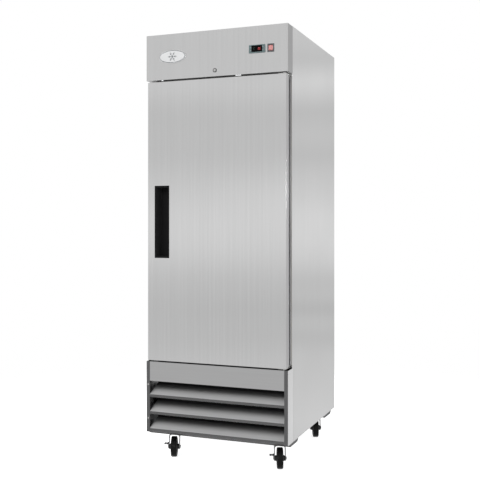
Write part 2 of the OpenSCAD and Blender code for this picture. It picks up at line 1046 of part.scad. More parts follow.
// A flange on the door's face and a tub whose outer wall leans inwards
module door_handle() {
    x = [handle_frame, handle_w - handle_frame];
    color([0.05, 0.05, 0.05]) difference() {
        union() {
            block(
                [handle_x0, handle_x0 + handle_w],
                [front_y - handle_proud, front_y],
                [handle_z0, handle_z0 + handle_h]
            );
            tub_outline();
        }
        translate([handle_x0, front_y, handle_z0 + handle_frame_end])
            linear_extrude(height = handle_h - 2 * handle_frame_end)
                polygon([
                    [x[0], -handle_proud - e], [x[1], -handle_proud - e],
                    [x[1], pocket_d], [x[0] + pocket_lean, pocket_d], [x[0], 0]
                ]);
    }
}

// ---------- Grille ----------

// The front face lies between the flanges, and the folds run behind them
module grille_panel() {
    z = [grille_top - grille_panel_h, grille_top];
    color("silver") {
        centred_block(2 * (flange_x - louvre_end_gap), [front_y, front_y + panel_t], z);
        for (fold_z = [z[0], z[1] - panel_t])
            centred_block(
                body_w - 2 * panel_t,
                [front_y + panel_t, front_y + louvre_fold],
                [fold_z, fold_z + panel_t]
            );
    }
}

module grille_brackets() {
    color("lightgray")
        for (side = sides)
            on_side(side) {
                block([half_w - panel_t, half_w], [front_y, cab_y], [base_z, grille_top]);
                block([flange_x, half_w], [front_y, front_y + panel_t], [base_z, grille_top]);
            }
}

// A blade that slopes down to the front, with an upright lip between the flanges
module grille_louvre(z) {
    translate([0, front_y, z]) {
        across(2 * (flange_x - louvre_end_gap))
            polygon([
                [0, -lip_h], [panel_t, -lip_h], [panel_t, -panel_t],
                [louvre_d, louvre_rise - panel_t], [louvre_d, louvre_rise], [0, 0]
            ]);
        across(body_w - 2 * panel_t)
            polygon([
                [louvre_fold, louvre_rise * louvre_fold / louvre_d - panel_t],
                [louvre_d, louvre_rise - panel_t],
                [louvre_d, louvre_rise],
                [louvre_fold, louvre_rise * louvre_fold / louvre_d]
            ]);
    }
}

module grille_louvres() {
    color("lightgray")
        for (i = [0 : louvres - 1])
            grille_louvre(base_z + louvre_z + i * louvre_pitch);
}

module grille_screws() {
    color("gray")
        for (side = sides)
            for (z = screw_zs)
                rod_y(
                    side * (half_w - flange_w / 2), front_y - screw_t, base_z + z, screw_r, screw_t
                );
}

// ---------- Base and condensing unit ----------

module base_deck() {
    color("darkgray")
        centred_block(body_w - 2 * sheet_t, [cab_y, rear_y], [base_z, deck_z]);
}

module compressor() {
    color([0.1, 0.1, 0.1]) {
        translate([compressor_x, compressor_y, deck_z + compressor_foot])
            rotate_extrude() {
                square([compressor_r, compressor_h - compressor_round]);
                square([compressor_r - compressor_round, compressor_h]);
                translate([compressor_r - compressor_round, compressor_h - compressor_round])
                    circle(r = compressor_round);
            }
        block(
            [compressor_x - compressor_base / 2, compressor_x + compressor_base / 2],
            [compressor_y - compressor_base / 2, compressor_y + compressor_base / 2],
            [deck_z, deck_z + compressor_foot + e]
        );
        block(
            [compressor_x - terminal_w / 2, compressor_x + terminal_w / 2],
            [compressor_y - compressor_r - terminal_d, compressor_y],
            [deck_z + terminal_z, deck_z + terminal_z + terminal_h]
        );
    }
}

module condenser_coil() {
    color("dimgray") {
        translate([coil_x, 0, 0])
            centred_block(coil_w, [coil_y, coil_y + coil_d], [deck_z, deck_z + coil_h]);
        for (i = [0 : coil_rows - 1])
            for (j = [0 : 1])
                rod_x(
                    coil_x - coil_w / 2 - coil_tube_out,
                    coil_y + coil_d * (j + 0.5) / 2,
                    deck_z + coil_h * (i + 0.5) / coil_rows,
                    coil_tube_r,
                    coil_w + 2 * coil_tube_out
                );
    }
}

// A duct from the coil to a plate with the fan's round hole
module fan_shroud() {
    z = [deck_z, deck_z + coil_h];
    y = [coil_y + coil_d, cond_fan_y + shroud_t];
    color("darkgray") translate([coil_x, 0, 0]) difference() {
        centred_block(coil_w, y, z);
        centred_block(
            coil_w - 2 * shroud_t, [y[0] - e, cond_fan_y], [z[0] + shroud_t, z[1] - shroud_t]
        );
        rod_y(0, y[0], cond_fan_z, cond_fan_r + fan_gap, y[1] - y[0] + e);
    }
}

module condensate_pan() {
    x = [pan_x - pan_w / 2, pan_x + pan_w / 2];
    y = [pan_y - pan_d / 2, pan_y + pan_d / 2];
    color("black") difference() {
        block(x, y, [deck_z, deck_z + pan_h]);
        block(
            [x[0] + pan_t, x[1] - pan_t], [y[0] + pan_t, y[1] - pan_t],
            [deck_z + pan_t, deck_z + pan_h + e]
        );
    }
}

module rear_grille() {
    y = rear_y - rear_inset;
    color("gainsboro") difference() {
        centred_block(body_w - 2 * sheet_t, [y - panel_t, y], [deck_z, grille_top]);
        for (row = [0 : vent_rows - 1])
            for (column = [0 : vent_columns - 1])
                translate([vent_x + column * (vent_w + vent_gap), 0, vent_z + row * vent_pitch])
                    block([0, vent_w], [y - panel_t - e, y + e], [0, vent_h]);
        rod_y(gland_x, y - panel_t - e, gland_z, gland_r + run_gap, panel_t + 2 * e);
    }
}

// A bush for the supply cord
module cord_gland() {
    y = rear_y - rear_inset;
    color("black") difference() {
        union() {
            rod_y(gland_x, y - gland_l + gland_flange_t, gland_z, gland_r, gland_l);
            rod_y(gland_x, y, gland_z, gland_flange_r, gland_flange_t);
        }
        rod_y(gland_x, y - gland_l, gland_z, gland_bore_r, 2 * gland_l);
    }
}

// ---------- Casters ----------

// The places of a plate's four bolts, on both axes
module at_plate_bolts() {
    for (spot = caster_spots)
        for (sx = sides)
            for (sy = sides)
                translate([spot[0] + sx * bolt_dx, spot[1] + sy * bolt_dy, 0])
                    children();
}

// A slice of the rails' trough, between two depths
module rail_trough(w, half, depth, slant) {
    for (y = caster_ys)
        translate([0, y, base_z])
            across(w)
                polygon([
                    [-half, -depth[0]], [half, -depth[0]],
                    [half - slant, -depth[1]], [-half + slant, -depth[1]]
                ]);
}

// Troughs that open downwards over the casters' plates, with slanted long edges
module caster_rails() {
    lean = rail_slant / rail_drop;
    color([0.2, 0.2, 0.2]) difference() {
        rail_trough(body_w, rail_w / 2, [0, rail_drop], rail_slant);
        rail_trough(
            body_w - 2 * rail_t,
            rail_w / 2 - rail_t * lean - rail_wall,
            [rail_t, rail_drop + e],
            (rail_drop + e - rail_t) * lean
        );
        at_plate_bolts()
            translate([0, 0, base_z - rail_t - e])
                cylinder(r = bolt_r + bolt_gap, h = rail_t + 2 * e);
    }
}

// Each plate carries its riveted swivel pin
module caster_plates() {
    color("gainsboro") difference() {
        for (spot = caster_spots)
            translate([spot[0], spot[1], 0]) {
                block(
                    [-plate_w / 2, plate_w / 2], [-plate_l / 2, plate_l / 2],
                    [plate_z, plate_z + plate_t]
                );
                translate([0, 0, crown_z - move_gap])
                    cylinder(r = king_r, h = plate_z - crown_z + move_gap + e);
                translate([0, 0, crown_z - move_gap - king_head_t])
                    cylinder(r = king_head_r, h = king_head_t);
            }
        at_plate_bolts()
            translate([0, 0, plate_z - e])
                cylinder(r = bolt_r + bolt_gap, h = plate_t + 2 * e);
    }
}

module caster_bolts() {
    color("gainsboro") at_plate_bolts() {
        translate([0, 0, plate_z - bolt_head_t])
            cylinder(r = bolt_head_r, h = bolt_head_t, $fn = hex);
        translate([0, 0, plate_z - e])
            cylinder(r = bolt_r, h = plate_t + rail_t);
    }
}

// A caster's own frame: the swivel at the origin, the wheel towards -Y and the floor at Z = 0
module at_caster(i) {
    translate([caster_spots[i][0], caster_spots[i][1], 0])
        rotate([0, 0, caster_turn])
            children();
}

// An upright outline with two rounded upper corners
module arch(w, top, r) {
    z0 = wheel_r - foot_r;
    translate([-w / 2, z0])
        square([w, top - r - z0]);
    translate([-w / 2 + r, z0])
        square([w - 2 * r, top - z0]);
    for (side = sides)
        translate([side * (w / 2 - r), top - r])
            circle(r = r);
}

// The legs' outline from the side, from the crown down to the axle
module leg_outline() {
    top = crown_z + crown_t;
    polygon([
        [race_r, top], [race_r, crown_z], [-trail + foot_r, wheel_r],
        [-trail - foot_r, wheel_r], [-race_r - crown_nose, crown_z], [-race_r - crown_nose, top]
    ]);
    translate([-trail, wheel_r])
        circle(r = foot_r);
}

// Two ears and a pin on the left leg, which carry the brake's lever
module brake_ears() {
    for (side = sides)
        translate([-lever_x, -trail + side * (lever_eye_l / 2 + move_gap + ear_t / 2), lever_z]) {
            rotate([right_angle, 0, 0])
                cylinder(r = ear_r, h = ear_t, center = true);
            translate([(lever_x - fork_w / 2 + e) / 2, 0, 0])
                cube([lever_x - fork_w / 2 + e, ear_t, 2 * ear_r], center = true);
        }
    translate([-lever_x, -trail, lever_z])
        rotate([right_angle, 0, 0])
            cylinder(r = lever_pin_r, h = lever_eye_l + 2 * move_gap + 2 * ear_t, center = true);
}

module fork(i, braked) {
    top = crown_z + crown_t;
    color("gainsboro") at_caster(i) {
        difference() {
            union() {
                intersection() {
                    rotate([right_angle, 0, 0])
                        linear_extrude(height = 4 * wheel_r, center = true)
                            difference() {
                                arch(fork_w, top, fork_corner);
                                arch(fork_gap_w, crown_z, fork_corner - fork_t);
                            }
                    across(2 * fork_w)
                        leg_outline();
                }
                translate([0, 0, crown_z])
                    cylinder(r = race_r, h = plate_z - move_gap - crown_z);
            }
            translate([0, 0, crown_z - e])
                cylinder(r = king_r + run_gap, h = plate_z - crown_z + 2 * e);
            rod_x(-fork_w, -trail, wheel_r, axle_r + run_gap, 2 * fork_w);
        }
        if (braked)
            brake_ears();
        axle_bolt();
    }
}

module axle_bolt() {
    rod_x(-fork_w / 2, -trail, wheel_r, axle_r, fork_w);
    for (side = sides)
        translate([side * (fork_w / 2 + axle_head_t / 2), -trail, wheel_r])
            rotate([0, right_angle, 0])
                cylinder(r = axle_head_r, h = axle_head_t, center = true, $fn = hex);
}

module fork_front_left() { fork(0, true); }
module fork_front_right() { fork(1, true); }
module fork_rear_left() { fork(2, false); }
module fork_rear_right() { fork(3, false); }

// Half of the wheel's section, from its bore out to the tread
module wheel_section() {
    r = tread_corner;
    translate([axle_r + run_gap, -hub_w / 2])
        square([hub_r - axle_r - run_gap, hub_w]);
    translate([hub_r - e, -web_w / 2])
        square([web_r - hub_r + 2 * e, web_w]);
    translate([web_r, -wheel_w / 2])
        square([wheel_r - r - web_r, wheel_w]);
    translate([wheel_r - r - e, -wheel_w / 2 + r])
        square([r + e, wheel_w - 2 * r]);
    for (side = sides)
        translate([wheel_r - r, side * (wheel_w / 2 - r)])
            circle(r = r);
}

module wheel(i) {
    color([0.15, 0.15, 0.15]) at_caster(i)
        translate([0, -trail, wheel_r])
            rotate([0, right_angle, 0])
                rotate_extrude()
                    wheel_section();
}

module wheel_front_left() { wheel(0); }
module wheel_front_right() { wheel(1); }
module wheel_rear_left() { wheel(2); }
module wheel_rear_right() { wheel(3); }

// The foot lever, level when the brake is on
module brake_lever(i) {
    color("dimgray") at_caster(i) translate([-lever_x, -trail, lever_z]) difference() {
        union() {
            rotate([right_angle, 0, 0])
                cylinder(r = lever_eye_r, h = lever_eye_l, center = true);
            block(
                [-lever_l, 0], [-lever_eye_l / 2, lever_eye_l / 2], [-lever_t / 2, lever_t / 2]
            );
            block(
                [-lever_l, -ear_r - ear_space], [-lever_w / 2, lever_w / 2],
                [-lever_t / 2, lever_t / 2]
            );
        }
        rotate([right_angle, 0, 0])
            cylinder(r = lever_pin_r + run_gap, h = 2 * lever_eye_l, center = true);
    }
}

module brake_lever_left() { brake_lever(0); }
module brake_lever_right() { brake_lever(1); }

side_panel_left();
side_panel_right();
top_panel();
back_panel();
cabinet_foam();
liner_panels();
liner_ceiling();
front_frame();
shelf_pilasters();
shelf_clips();
wire_shelves();
evaporator_coil();
evaporator_cover();
fan_motors();
interior_lamp();
header_panel();
controller_bezel();
controller_display();
switch_bezel();
lock_barrel();
badge_plate();
hinge_brackets();
grille_panel();
grille_brackets();
grille_louvres();
grille_screws();
base_deck();
caster_rails();
caster_plates();
caster_bolts();
compressor();
condenser_coil();
fan_shroud();
condensate_pan();
rear_grille();
cord_gland();
door_skin();
door_foam();
door_inner_panel();
door_gasket();
door_handle();
door_bushes();
light_rocker();
button_upper_left();
button_lower_left();
button_upper_right();
button_lower_right();
lock_plug();
condenser_fan();
evaporator_fan();
fork_front_left();
fork_front_right();
fork_rear_left();
fork_rear_right();
wheel_front_left();
wheel_front_right();
wheel_rear_left();
wheel_rear_right();
brake_lever_left();
brake_lever_right();
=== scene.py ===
"""Looks of a single-door reach-in refrigerator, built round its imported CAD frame. Metres, +Z up."""
import json
import math
import random

import bmesh
import bpy
from mathutils import Matrix, Vector


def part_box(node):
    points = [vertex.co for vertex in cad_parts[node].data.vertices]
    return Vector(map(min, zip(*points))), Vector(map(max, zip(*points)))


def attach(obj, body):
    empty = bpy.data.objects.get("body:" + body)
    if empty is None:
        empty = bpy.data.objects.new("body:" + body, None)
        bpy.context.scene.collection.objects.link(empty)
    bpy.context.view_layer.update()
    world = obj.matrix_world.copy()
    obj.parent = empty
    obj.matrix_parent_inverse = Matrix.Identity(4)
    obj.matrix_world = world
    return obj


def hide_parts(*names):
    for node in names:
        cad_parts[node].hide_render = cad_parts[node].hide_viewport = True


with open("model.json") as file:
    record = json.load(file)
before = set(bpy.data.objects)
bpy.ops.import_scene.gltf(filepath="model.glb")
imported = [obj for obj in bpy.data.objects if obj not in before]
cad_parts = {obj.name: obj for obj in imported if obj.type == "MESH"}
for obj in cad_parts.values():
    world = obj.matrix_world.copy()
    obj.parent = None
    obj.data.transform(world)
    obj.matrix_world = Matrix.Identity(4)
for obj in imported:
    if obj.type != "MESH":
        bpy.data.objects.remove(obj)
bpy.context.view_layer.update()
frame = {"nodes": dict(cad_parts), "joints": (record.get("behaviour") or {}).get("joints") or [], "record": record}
random.seed(7)

MM = 0.001
NODES = frame["nodes"]
BODY_OF = {n: b for b, ns in frame["record"]["behaviour"]["bodies"].items() for n in ns}
SLOT_OF = {s["node"]: s["material_slot"] for s in frame["record"]["subparts"]}
JOINT_OF = {joint["child"]: joint for joint in frame["joints"]}
SIDES = (-1, 1)
HANDS = ((-1, "left"), (1, "right"))


# ---------- Camera, light and floor ----------

CAMERA_PLACE = (1.5073, -3.9576, 1.1572)
CAMERA_YAW = 21.28
CAMERA_LENS = 60.07
CAMERA_SHIFT = -0.0336
# The surroundings' brightness against the slope of a reflected ray, from below to above
SKY = ((-0.60, 0.66), (-0.30, 0.70), (-0.24, 0.80), (-0.20, 0.74), (-0.16, 0.70), (-0.14, 0.62),
       (-0.12, 0.68), (-0.105, 0.58), (-0.09, 0.68), (-0.07, 0.66), (-0.045, 0.80), (-0.02, 0.86),
       (0.01, 0.86), (0.035, 0.79), (0.06, 0.73), (0.085, 0.65), (0.11, 0.70), (0.14, 0.64),
       (0.175, 0.86), (0.20, 0.66), (0.225, 0.74), (0.60, 0.80))
SHADE = 0.30             # what the matt surfaces get from the surroundings


def add_camera():
    data = bpy.data.cameras.new("camera")
    data.lens = CAMERA_LENS
    data.sensor_width = 36
    data.shift_y = CAMERA_SHIFT
    camera = bpy.data.objects.new("camera", data)
    camera.location = CAMERA_PLACE
    camera.rotation_euler = (math.radians(90), 0, math.radians(CAMERA_YAW))
    bpy.context.scene.collection.objects.link(camera)
    bpy.context.scene.camera = camera


def add_light(name, place, target, size, power, mirrored=False):
    """A soft box, which the shiny surfaces only mirror where that is asked for."""
    data = bpy.data.lights.new(name, "AREA")
    data.shape = "RECTANGLE"
    data.size, data.size_y = size
    data.energy = power
    light = bpy.data.objects.new(name, data)
    light.location = place
    light.rotation_euler = (Vector(target) - Vector(place)).to_track_quat("-Z", "Y").to_euler()
    light.visible_glossy = mirrored
    bpy.context.scene.collection.objects.link(light)


def make_node(tree, kind, inputs=None, **settings):
    """A shader node of a kind with its settings, whose inputs are values or the sockets that feed them."""
    node = tree.nodes.new("ShaderNode" + kind)
    for name, value in settings.items():
        setattr(node, name, value)
    for key, value in (inputs or {}).items():
        if isinstance(value, bpy.types.NodeSocket):
            tree.links.new(value, node.inputs[key])
        else:
            node.inputs[key].default_value = value
    return node


def add_surroundings():
    """White for the camera, and soft level bands for what the steel reflects."""
    world = bpy.data.worlds.new("studio")
    bpy.context.scene.world = world
    world.use_nodes = True
    tree = world.node_tree
    tree.nodes.clear()
    start, stop = SKY[0][0], SKY[-1][0]
    place = make_node(tree, "TexCoord")
    split = make_node(tree, "SeparateXYZ", {0: place.outputs["Generated"]})
    limits = {"From Min": start, "From Max": stop}
    spread = make_node(tree, "MapRange", {"Value": split.outputs["Z"], **limits})
    ramp = make_node(tree, "ValToRGB", {"Fac": spread.outputs["Result"]})
    ramp.color_ramp.interpolation = "LINEAR"
    points = ramp.color_ramp.elements
    while len(points) < len(SKY):
        points.new(0.5)
    for point, (slope, light) in zip(points, SKY):
        point.position = (slope - start) / (stop - start)
        point.color = (light, light, light, 1)
    shown = make_node(tree, "Background", {"Color": ramp.outputs["Color"]})
    path = make_node(tree, "LightPath")
    for ray, light in (("Is Diffuse Ray", SHADE), ("Is Camera Ray", 1)):
        plain = make_node(tree, "Background", {"Color": (light, light, light, 1)})
        sources = {"Fac": path.outputs[ray], 1: shown.outputs[0], 2: plain.outputs[0]}
        shown = make_node(tree, "MixShader", sources)
    make_node(tree, "OutputWorld", {"Surface": shown.outputs[0]})


def add_floor():
    """A pale disc that fades into the white backdrop at its rim."""
    radius = 2.6
    mesh = bpy.data.meshes.new("floor")
    floor = bpy.data.objects.new("floor", mesh)
    bm = bmesh.new()
    bmesh.ops.create_circle(bm, cap_ends=True, radius=radius, segments=96)
    bm.to_mesh(mesh)
    bm.free()
    bpy.context.scene.collection.objects.link(floor)
    material = bpy.data.materials.new("floor_pale")
    material.use_nodes = True
    tree = material.node_tree
    tree.nodes.clear()
    place = make_node(tree, "TexCoord")
    length = make_node(tree, "VectorMath", {0: place.outputs["Object"]}, operation="LENGTH")
    fade = make_node(tree, "MapRange", {
        "Value": length.outputs["Value"], "From Min": radius * 0.35, "From Max": radius * 0.98,
    }, interpolation_type="SMOOTHSTEP")
    diffuse = make_node(tree, "BsdfDiffuse", {"Color": (0.93, 0.93, 0.93, 1)})
    glow = make_node(tree, "Emission", {"Strength": 0.80})
    lit = make_node(tree, "AddShader", {0: diffuse.outputs[0], 1: glow.outputs[0]})
    clear = make_node(tree, "BsdfTransparent")
    sources = {"Fac": fade.outputs["Result"], 1: lit.outputs[0], 2: clear.outputs[0]}
    mix = make_node(tree, "MixShader", sources)
    make_node(tree, "OutputMaterial", {"Surface": mix.outputs[0]})
    mesh.materials.append(material)
    floor.visible_glossy = False


add_camera()
add_surroundings()
add_floor()
add_light("key", (-1.2, -3.6, 3.4), (0, 0, 0.6), (2.6, 1.8), 130)
add_light("fill", (3.6, -1.6, 2.4), (0, 0, 0.9), (2.0, 2.6), 30)
add_light("back", (0.4, 3.4, 2.6), (0, 0, 1.2), (2.6, 2.0), 40)
add_light("spark", (1.2, -4.4, 1.5), (0, 0, 0.4), (0.35, 0.35), 9, True)
bpy.context.scene.view_settings.view_transform = "Standard"


# ---------- Materials ----------

MATERIALS = {}


class Material:
    """A Principled shader and short calls for the texture nodes in front of it."""

    def __init__(self, name, colour, metallic=0.0, roughness=0.5, **sockets):
        self.material = bpy.data.materials.new(name)
        self.material.use_nodes = True
        self.tree = self.material.node_tree
        self.shader = self.tree.nodes["Principled BSDF"]
        self.set("Base Color", (*colour, 1))
        self.set("Metallic", metallic)
        self.set("Roughness", roughness)
        for socket, value in sockets.items():
            self.set(socket.replace("_", " "), value)
        MATERIALS[name] = self.material
        self.place = self.add("TexCoord").outputs["Object"]
        self.normal = None

    def add(self, kind, inputs=None, **settings):
        return make_node(self.tree, kind, inputs, **settings)

    def set(self, socket, value):
        """Gives a socket of the shader a value, or the output that feeds it."""
        if isinstance(value, bpy.types.NodeSocket):
            self.tree.links.new(value, self.shader.inputs[socket])
        else:
            self.shader.inputs[socket].default_value = value

    def scaled(self, scale):
        """The object's own coordinates, stretched by a scale for each axis."""
        return self.add("Mapping", {"Scale": scale, "Vector": self.place}).outputs["Vector"]

    def noise(self, scale, detail=3.0):
        """Noise of one scale, or of a scale for each axis."""
        scale = scale if isinstance(scale, tuple) else (scale, scale, scale)
        inputs = {"Scale": 1, "Detail": detail, "Vector": self.scaled(scale)}
        return self.add("TexNoise", inputs).outputs["Fac"]

    def cells(self, scale, feature="F1"):
        """A cell pattern's node."""
        place = self.scaled((scale, scale, scale))
        return self.add("TexVoronoi", {"Scale": 1, "Vector": place}, feature=feature)

    def ranged(self, value, low, high, start=0.3, stop=0.7):
        """A value between start and stop as one between low and high."""
        limits = {"From Min": start, "From Max": stop, "To Min": low, "To Max": high}
        return self.add("MapRange", {"Value": value, **limits}).outputs["Result"]

    def mixed(self, factor, a, b):
        """Colour a where the factor is 0, and colour b where it is 1."""
        a, b = ((*c, 1) if isinstance(c, tuple) else c for c in (a, b))
        mix = self.add("Mix", data_type="RGBA")
        for key, value in (("Factor", factor), (6, a), (7, b)):
            if isinstance(value, bpy.types.NodeSocket):
                self.tree.links.new(value, mix.inputs[key])
            else:
                mix.inputs[key].default_value = value
        return mix.outputs[2]

    def bump(self, height, strength, distance):
        """Raises the surface by a height."""
        node = self.add("Bump", {"Strength": strength, "Distance": distance, "Height": height})
        if self.normal:
            self.tree.links.new(self.normal, node.inputs["Normal"])
        self.normal = node.outputs["Normal"]
        self.set("Normal", self.normal)

    def edge_wear(self, base, worn, radius=0.0012):
        """The colour of rubbed edges, found where a rounded normal leaves the flat one."""
        bevel = self.add("Bevel", {"Radius": radius}, samples=4)
        shape = self.add("NewGeometry")
        normals = {0: bevel.outputs["Normal"], 1: shape.outputs["Normal"]}
        dot = self.add("VectorMath", normals, operation="DOT_PRODUCT")
        return self.mixed(self.ranged(dot.outputs["Value"], 1.0, 0.0, 0.80, 0.995), base, worn)

    def painted_shade_towards_back(self, start, stop, dust_and_shade):
        """Painted shade: the base colour darkens towards the back, between start and stop along Y."""
        depth = self.add("SeparateXYZ", {0: self.place}).outputs["Y"]
        unshaded = self.shader.inputs["Base Color"].links[0].from_socket
        self.set("Base Color", self.mixed(self.ranged(depth, 0, 1, start, stop), unshaded, dust_and_shade))


def tinted(colour, share):
    """A colour scaled by a share, kept within white."""
    return tuple(min(1, c * share) for c in colour)


def brushed(name, colour, grain, roughness, anisotropic=0.9, smudge=0.022, metallic=1.0):
    """Brushed steel: fine streaks along the grain's axis, soft wide streaks and faint smudges."""
    m = Material(name, colour, metallic, roughness, Anisotropic=anisotropic)
    across, along = 620, 4
    fine = m.noise(tuple(along if axis == grain else across for axis in "xyz"), 2)
    wide = m.noise(tuple(0.4 if axis == grain else 95 for axis in "xyz"), 5)
    hazy = m.noise((2.2, 2.2, 2.6), 4)
    streaks = m.mixed(m.ranged(wide, 0, 1, 0.35, 0.65), tinted(colour, 1 - smudge), tinted(colour, 1 + smudge))
    m.set("Base Color", m.mixed(m.ranged(fine, 0, 0.5), streaks, tinted(colour, 0.93)))
    m.set("Roughness", m.ranged(hazy, roughness * 0.88, roughness * 1.15))
    tangent = m.add("Tangent", direction_type="RADIAL", axis="Z")
    m.set("Tangent", tangent.outputs["Tangent"])
    m.bump(fine, 0.06, 0.00003)
    return m


def plated(name, colour, roughness, **sockets):
    """Bright zinc with small crystals and dull rubbed patches."""
    m = Material(name, colour, 1.0, roughness, **sockets)
    speck = m.noise(420, 3)
    patch = m.noise(34, 4)
    m.set("Base Color", m.mixed(m.ranged(patch, 0, 0.6, 0.42, 0.72), colour, tinted(colour, 0.62)))
    m.set("Roughness", m.ranged(speck, roughness * 0.7, roughness * 1.5))
    m.bump(speck, 0.12, 0.00008)


def galvanised(name, colour, roughness=0.42):
    """Hot-dip spangle from a cell pattern."""
    m = Material(name, colour, 0.9, roughness)
    grey = m.add("SeparateColor", {0: m.cells(85).outputs["Color"]})
    m.set("Base Color", m.mixed(grey.outputs[0], tinted(colour, 0.86), colour))
    m.set("Roughness", m.ranged(grey.outputs[1], roughness * 0.8, roughness * 1.25, 0, 1))


def moulded(name, colour, roughness, grain=0.00012, scale=900, worn=None, shine=0.5, dust_share=0.10):
    """Moulded plastic: a fine texture, uneven gloss, a little dust and rubbed edges."""
    m = Material(name, colour, 0.0, roughness, Specular_IOR_Level=shine)
    fine = m.noise(scale, 2)
    dust_and_shade = m.noise(26, 5)
    dusty = tuple(c + (0.45 - c) * dust_share for c in colour)
    tint = m.mixed(m.ranged(dust_and_shade, 0, 0.7, 0.45, 0.75), colour, dusty)
    m.set("Base Color", m.edge_wear(tint, worn) if worn else tint)
    m.set("Roughness", m.ranged(dust_and_shade, roughness * 0.85, min(1, roughness * 1.2)))
    m.bump(fine, 0.35, grain)


def embossed_sheet(name, colour):
    """Aluminium with a pebbled stucco emboss."""
    m = Material(name, colour, 0.85, 0.38)
    m.bump(m.cells(210, "SMOOTH_F1").outputs["Distance"], 0.5, 0.0006)
    haze = m.noise(6, 4)
    m.set("Roughness", m.ranged(haze, 0.30, 0.46))
    m.set("Base Color", m.mixed(m.ranged(haze, 0, 1), colour, tinted(colour, 0.92)))


def painted(name, colour, roughness, worn=None):
    """Sprayed paint with orange peel and, where it is given, metal that shows at the edges."""
    m = Material(name, colour, 0.0, roughness)
    peel = m.noise(260, 2)
    haze = m.noise(18, 4)
    light = tuple(c + (0.5 - c) * 0.06 for c in colour)
    tint = m.mixed(m.ranged(haze, 0, 1), colour, light)
    m.set("Base Color", m.edge_wear(tint, worn) if worn else tint)
    m.set("Roughness", m.ranged(haze, roughness * 0.85, roughness * 1.2))
    m.bump(peel, 0.25, 0.00015)


def foam_material(name):
    pale, deep = (0.86, 0.78, 0.52), (0.74, 0.64, 0.38)
    m = Material(name, pale, 0.0, 0.9)
    m.set("Base Color", m.mixed(m.ranged(m.noise(12, 4), 0, 1), pale, deep))
    m.bump(m.noise(300, 3), 0.6, 0.0008)


def lens_material(name, colour, glow):
    """Lit translucent plastic, its tint and gloss varied by a fine noise."""
    m = Material(name, colour, 0.0, 0.22, Coat_Weight=0.5, Emission_Strength=glow)
    haze = m.noise(170, 2)
    tint = m.mixed(m.ranged(haze, 0, 1), colour, tuple(min(1, c + 0.12) for c in colour))
    m.set("Base Color", tint)
    m.set("Emission Color", tint)
    m.set("Roughness", m.ranged(haze, 0.18, 0.3))


def make_materials():
    brushed("brushed_steel", (0.735, 0.735, 0.737), "z", 0.16)
    brushed("header_steel", (0.735, 0.735, 0.737), "z", 0.24)
    # A brighter copy of the steel: painted highlight on the grille brackets' outer sides.
    brushed("bracket_side_painted_highlight", (0.90, 0.90, 0.902), "z", 0.24)
    # A darker copy of the steel: painted shade on the header's side returns.
    brushed("header_side_painted_shade", (0.50, 0.50, 0.502), "z", 0.36)
    # A darker copy of the steel: painted shade on the door's side edges.
    brushed("door_edge_painted_shade", (0.62, 0.62, 0.622), "z", 0.36)
    brushed("grille_steel", (0.54, 0.54, 0.542), "x", 0.38, 0.5)
    # A dark copy of the grille steel: painted shade on the blades' lips and end tabs, the panel's top flange and
    # the brackets' front, back and inner faces.
    brushed("grille_steel_painted_shade", (0.17, 0.17, 0.172), "x", 0.42, 0.4)
    louvre = brushed("louvre_top", (0.50, 0.50, 0.502), "x", 0.50, 0.3, 0.022, 0.15)
    # Painted shade on the blades: their colour darkens to near black towards their backs.
    front, back = (corner.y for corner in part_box("grille_louvres"))
    louvre.painted_shade_towards_back(front + 0.25 * (back - front), back, (0.02, 0.02, 0.02))
    embossed_sheet("liner_sheet", (0.74, 0.75, 0.76))
    galvanised("galvanised_sheet", (0.60, 0.61, 0.62))
    plated("zinc_plate", (0.74, 0.74, 0.73), 0.24)
    plated("fork_plate", (0.12, 0.12, 0.12), 0.16)
    plated("coil_fins", (0.60, 0.61, 0.62), 0.35)
    plated("copper", (0.72, 0.36, 0.22), 0.28, Coat_Weight=0.1)
    foam_material("foam")
    moulded("black_plastic", (0.006, 0.006, 0.0065), 0.45, worn=(0.03, 0.03, 0.03), shine=0.08,
            dust_share=0.004)
    # A lighter copy of the black plastic: painted light on one wall of the handle recess.
    moulded("handle_wall_painted_light", (0.020, 0.020, 0.021), 0.40, shine=0.2, dust_share=0.01)
    moulded("grey_plastic", (0.12, 0.165, 0.17), 0.42, worn=(0.22, 0.27, 0.28), shine=0.25)
    moulded("dark_plastic", (0.075, 0.078, 0.082), 0.45, worn=(0.16, 0.16, 0.17))
    moulded("inner_plastic", (0.52, 0.52, 0.53), 0.45, 0.0002, 500)
    moulded("gasket_rubber", (0.22, 0.22, 0.225), 0.6)
    moulded("bush_plastic", (0.72, 0.72, 0.70), 0.4)
    moulded("tyre_rubber", (0.004, 0.004, 0.004), 0.24, 0.00010, 420, (0.01, 0.01, 0.01), 0.12, 0.006)
    moulded("hub_plastic", (0.012, 0.012, 0.013), 0.25, shine=0.2, dust_share=0.02)
    moulded("label_white", (0.82, 0.83, 0.84), 0.28, 0.00003)
    moulded("emblem_grey", (0.055, 0.065, 0.075), 0.35)
    glass = Material("display_glass", (0.001, 0.001, 0.0012), 0.0, 0.12, Specular_IOR_Level=0.08)
    glass.set("Roughness", glass.ranged(glass.noise(60), 0.10, 0.18))
    lens_material("red_lens", (0.42, 0.13, 0.125), 0.12)
    lens_material("digit_red", (0.55, 0.008, 0.007), 0.55)
    lens_material("digit_green", (0.03, 0.10, 0.04), 0.2)
    lens_material("lamp_white", (0.92, 0.92, 0.90), 0.25)
    painted("coated_wire", (0.86, 0.86, 0.85), 0.35)
    painted("compressor_black", (0.02, 0.02, 0.021), 0.32, (0.12, 0.12, 0.12))
    painted("rail_paint", (0.035, 0.035, 0.036), 0.4, (0.3, 0.3, 0.3))
    painted("badge_plate", (0.60, 0.605, 0.61), 0.3)


make_materials()


# ---------- Mesh tools ----------

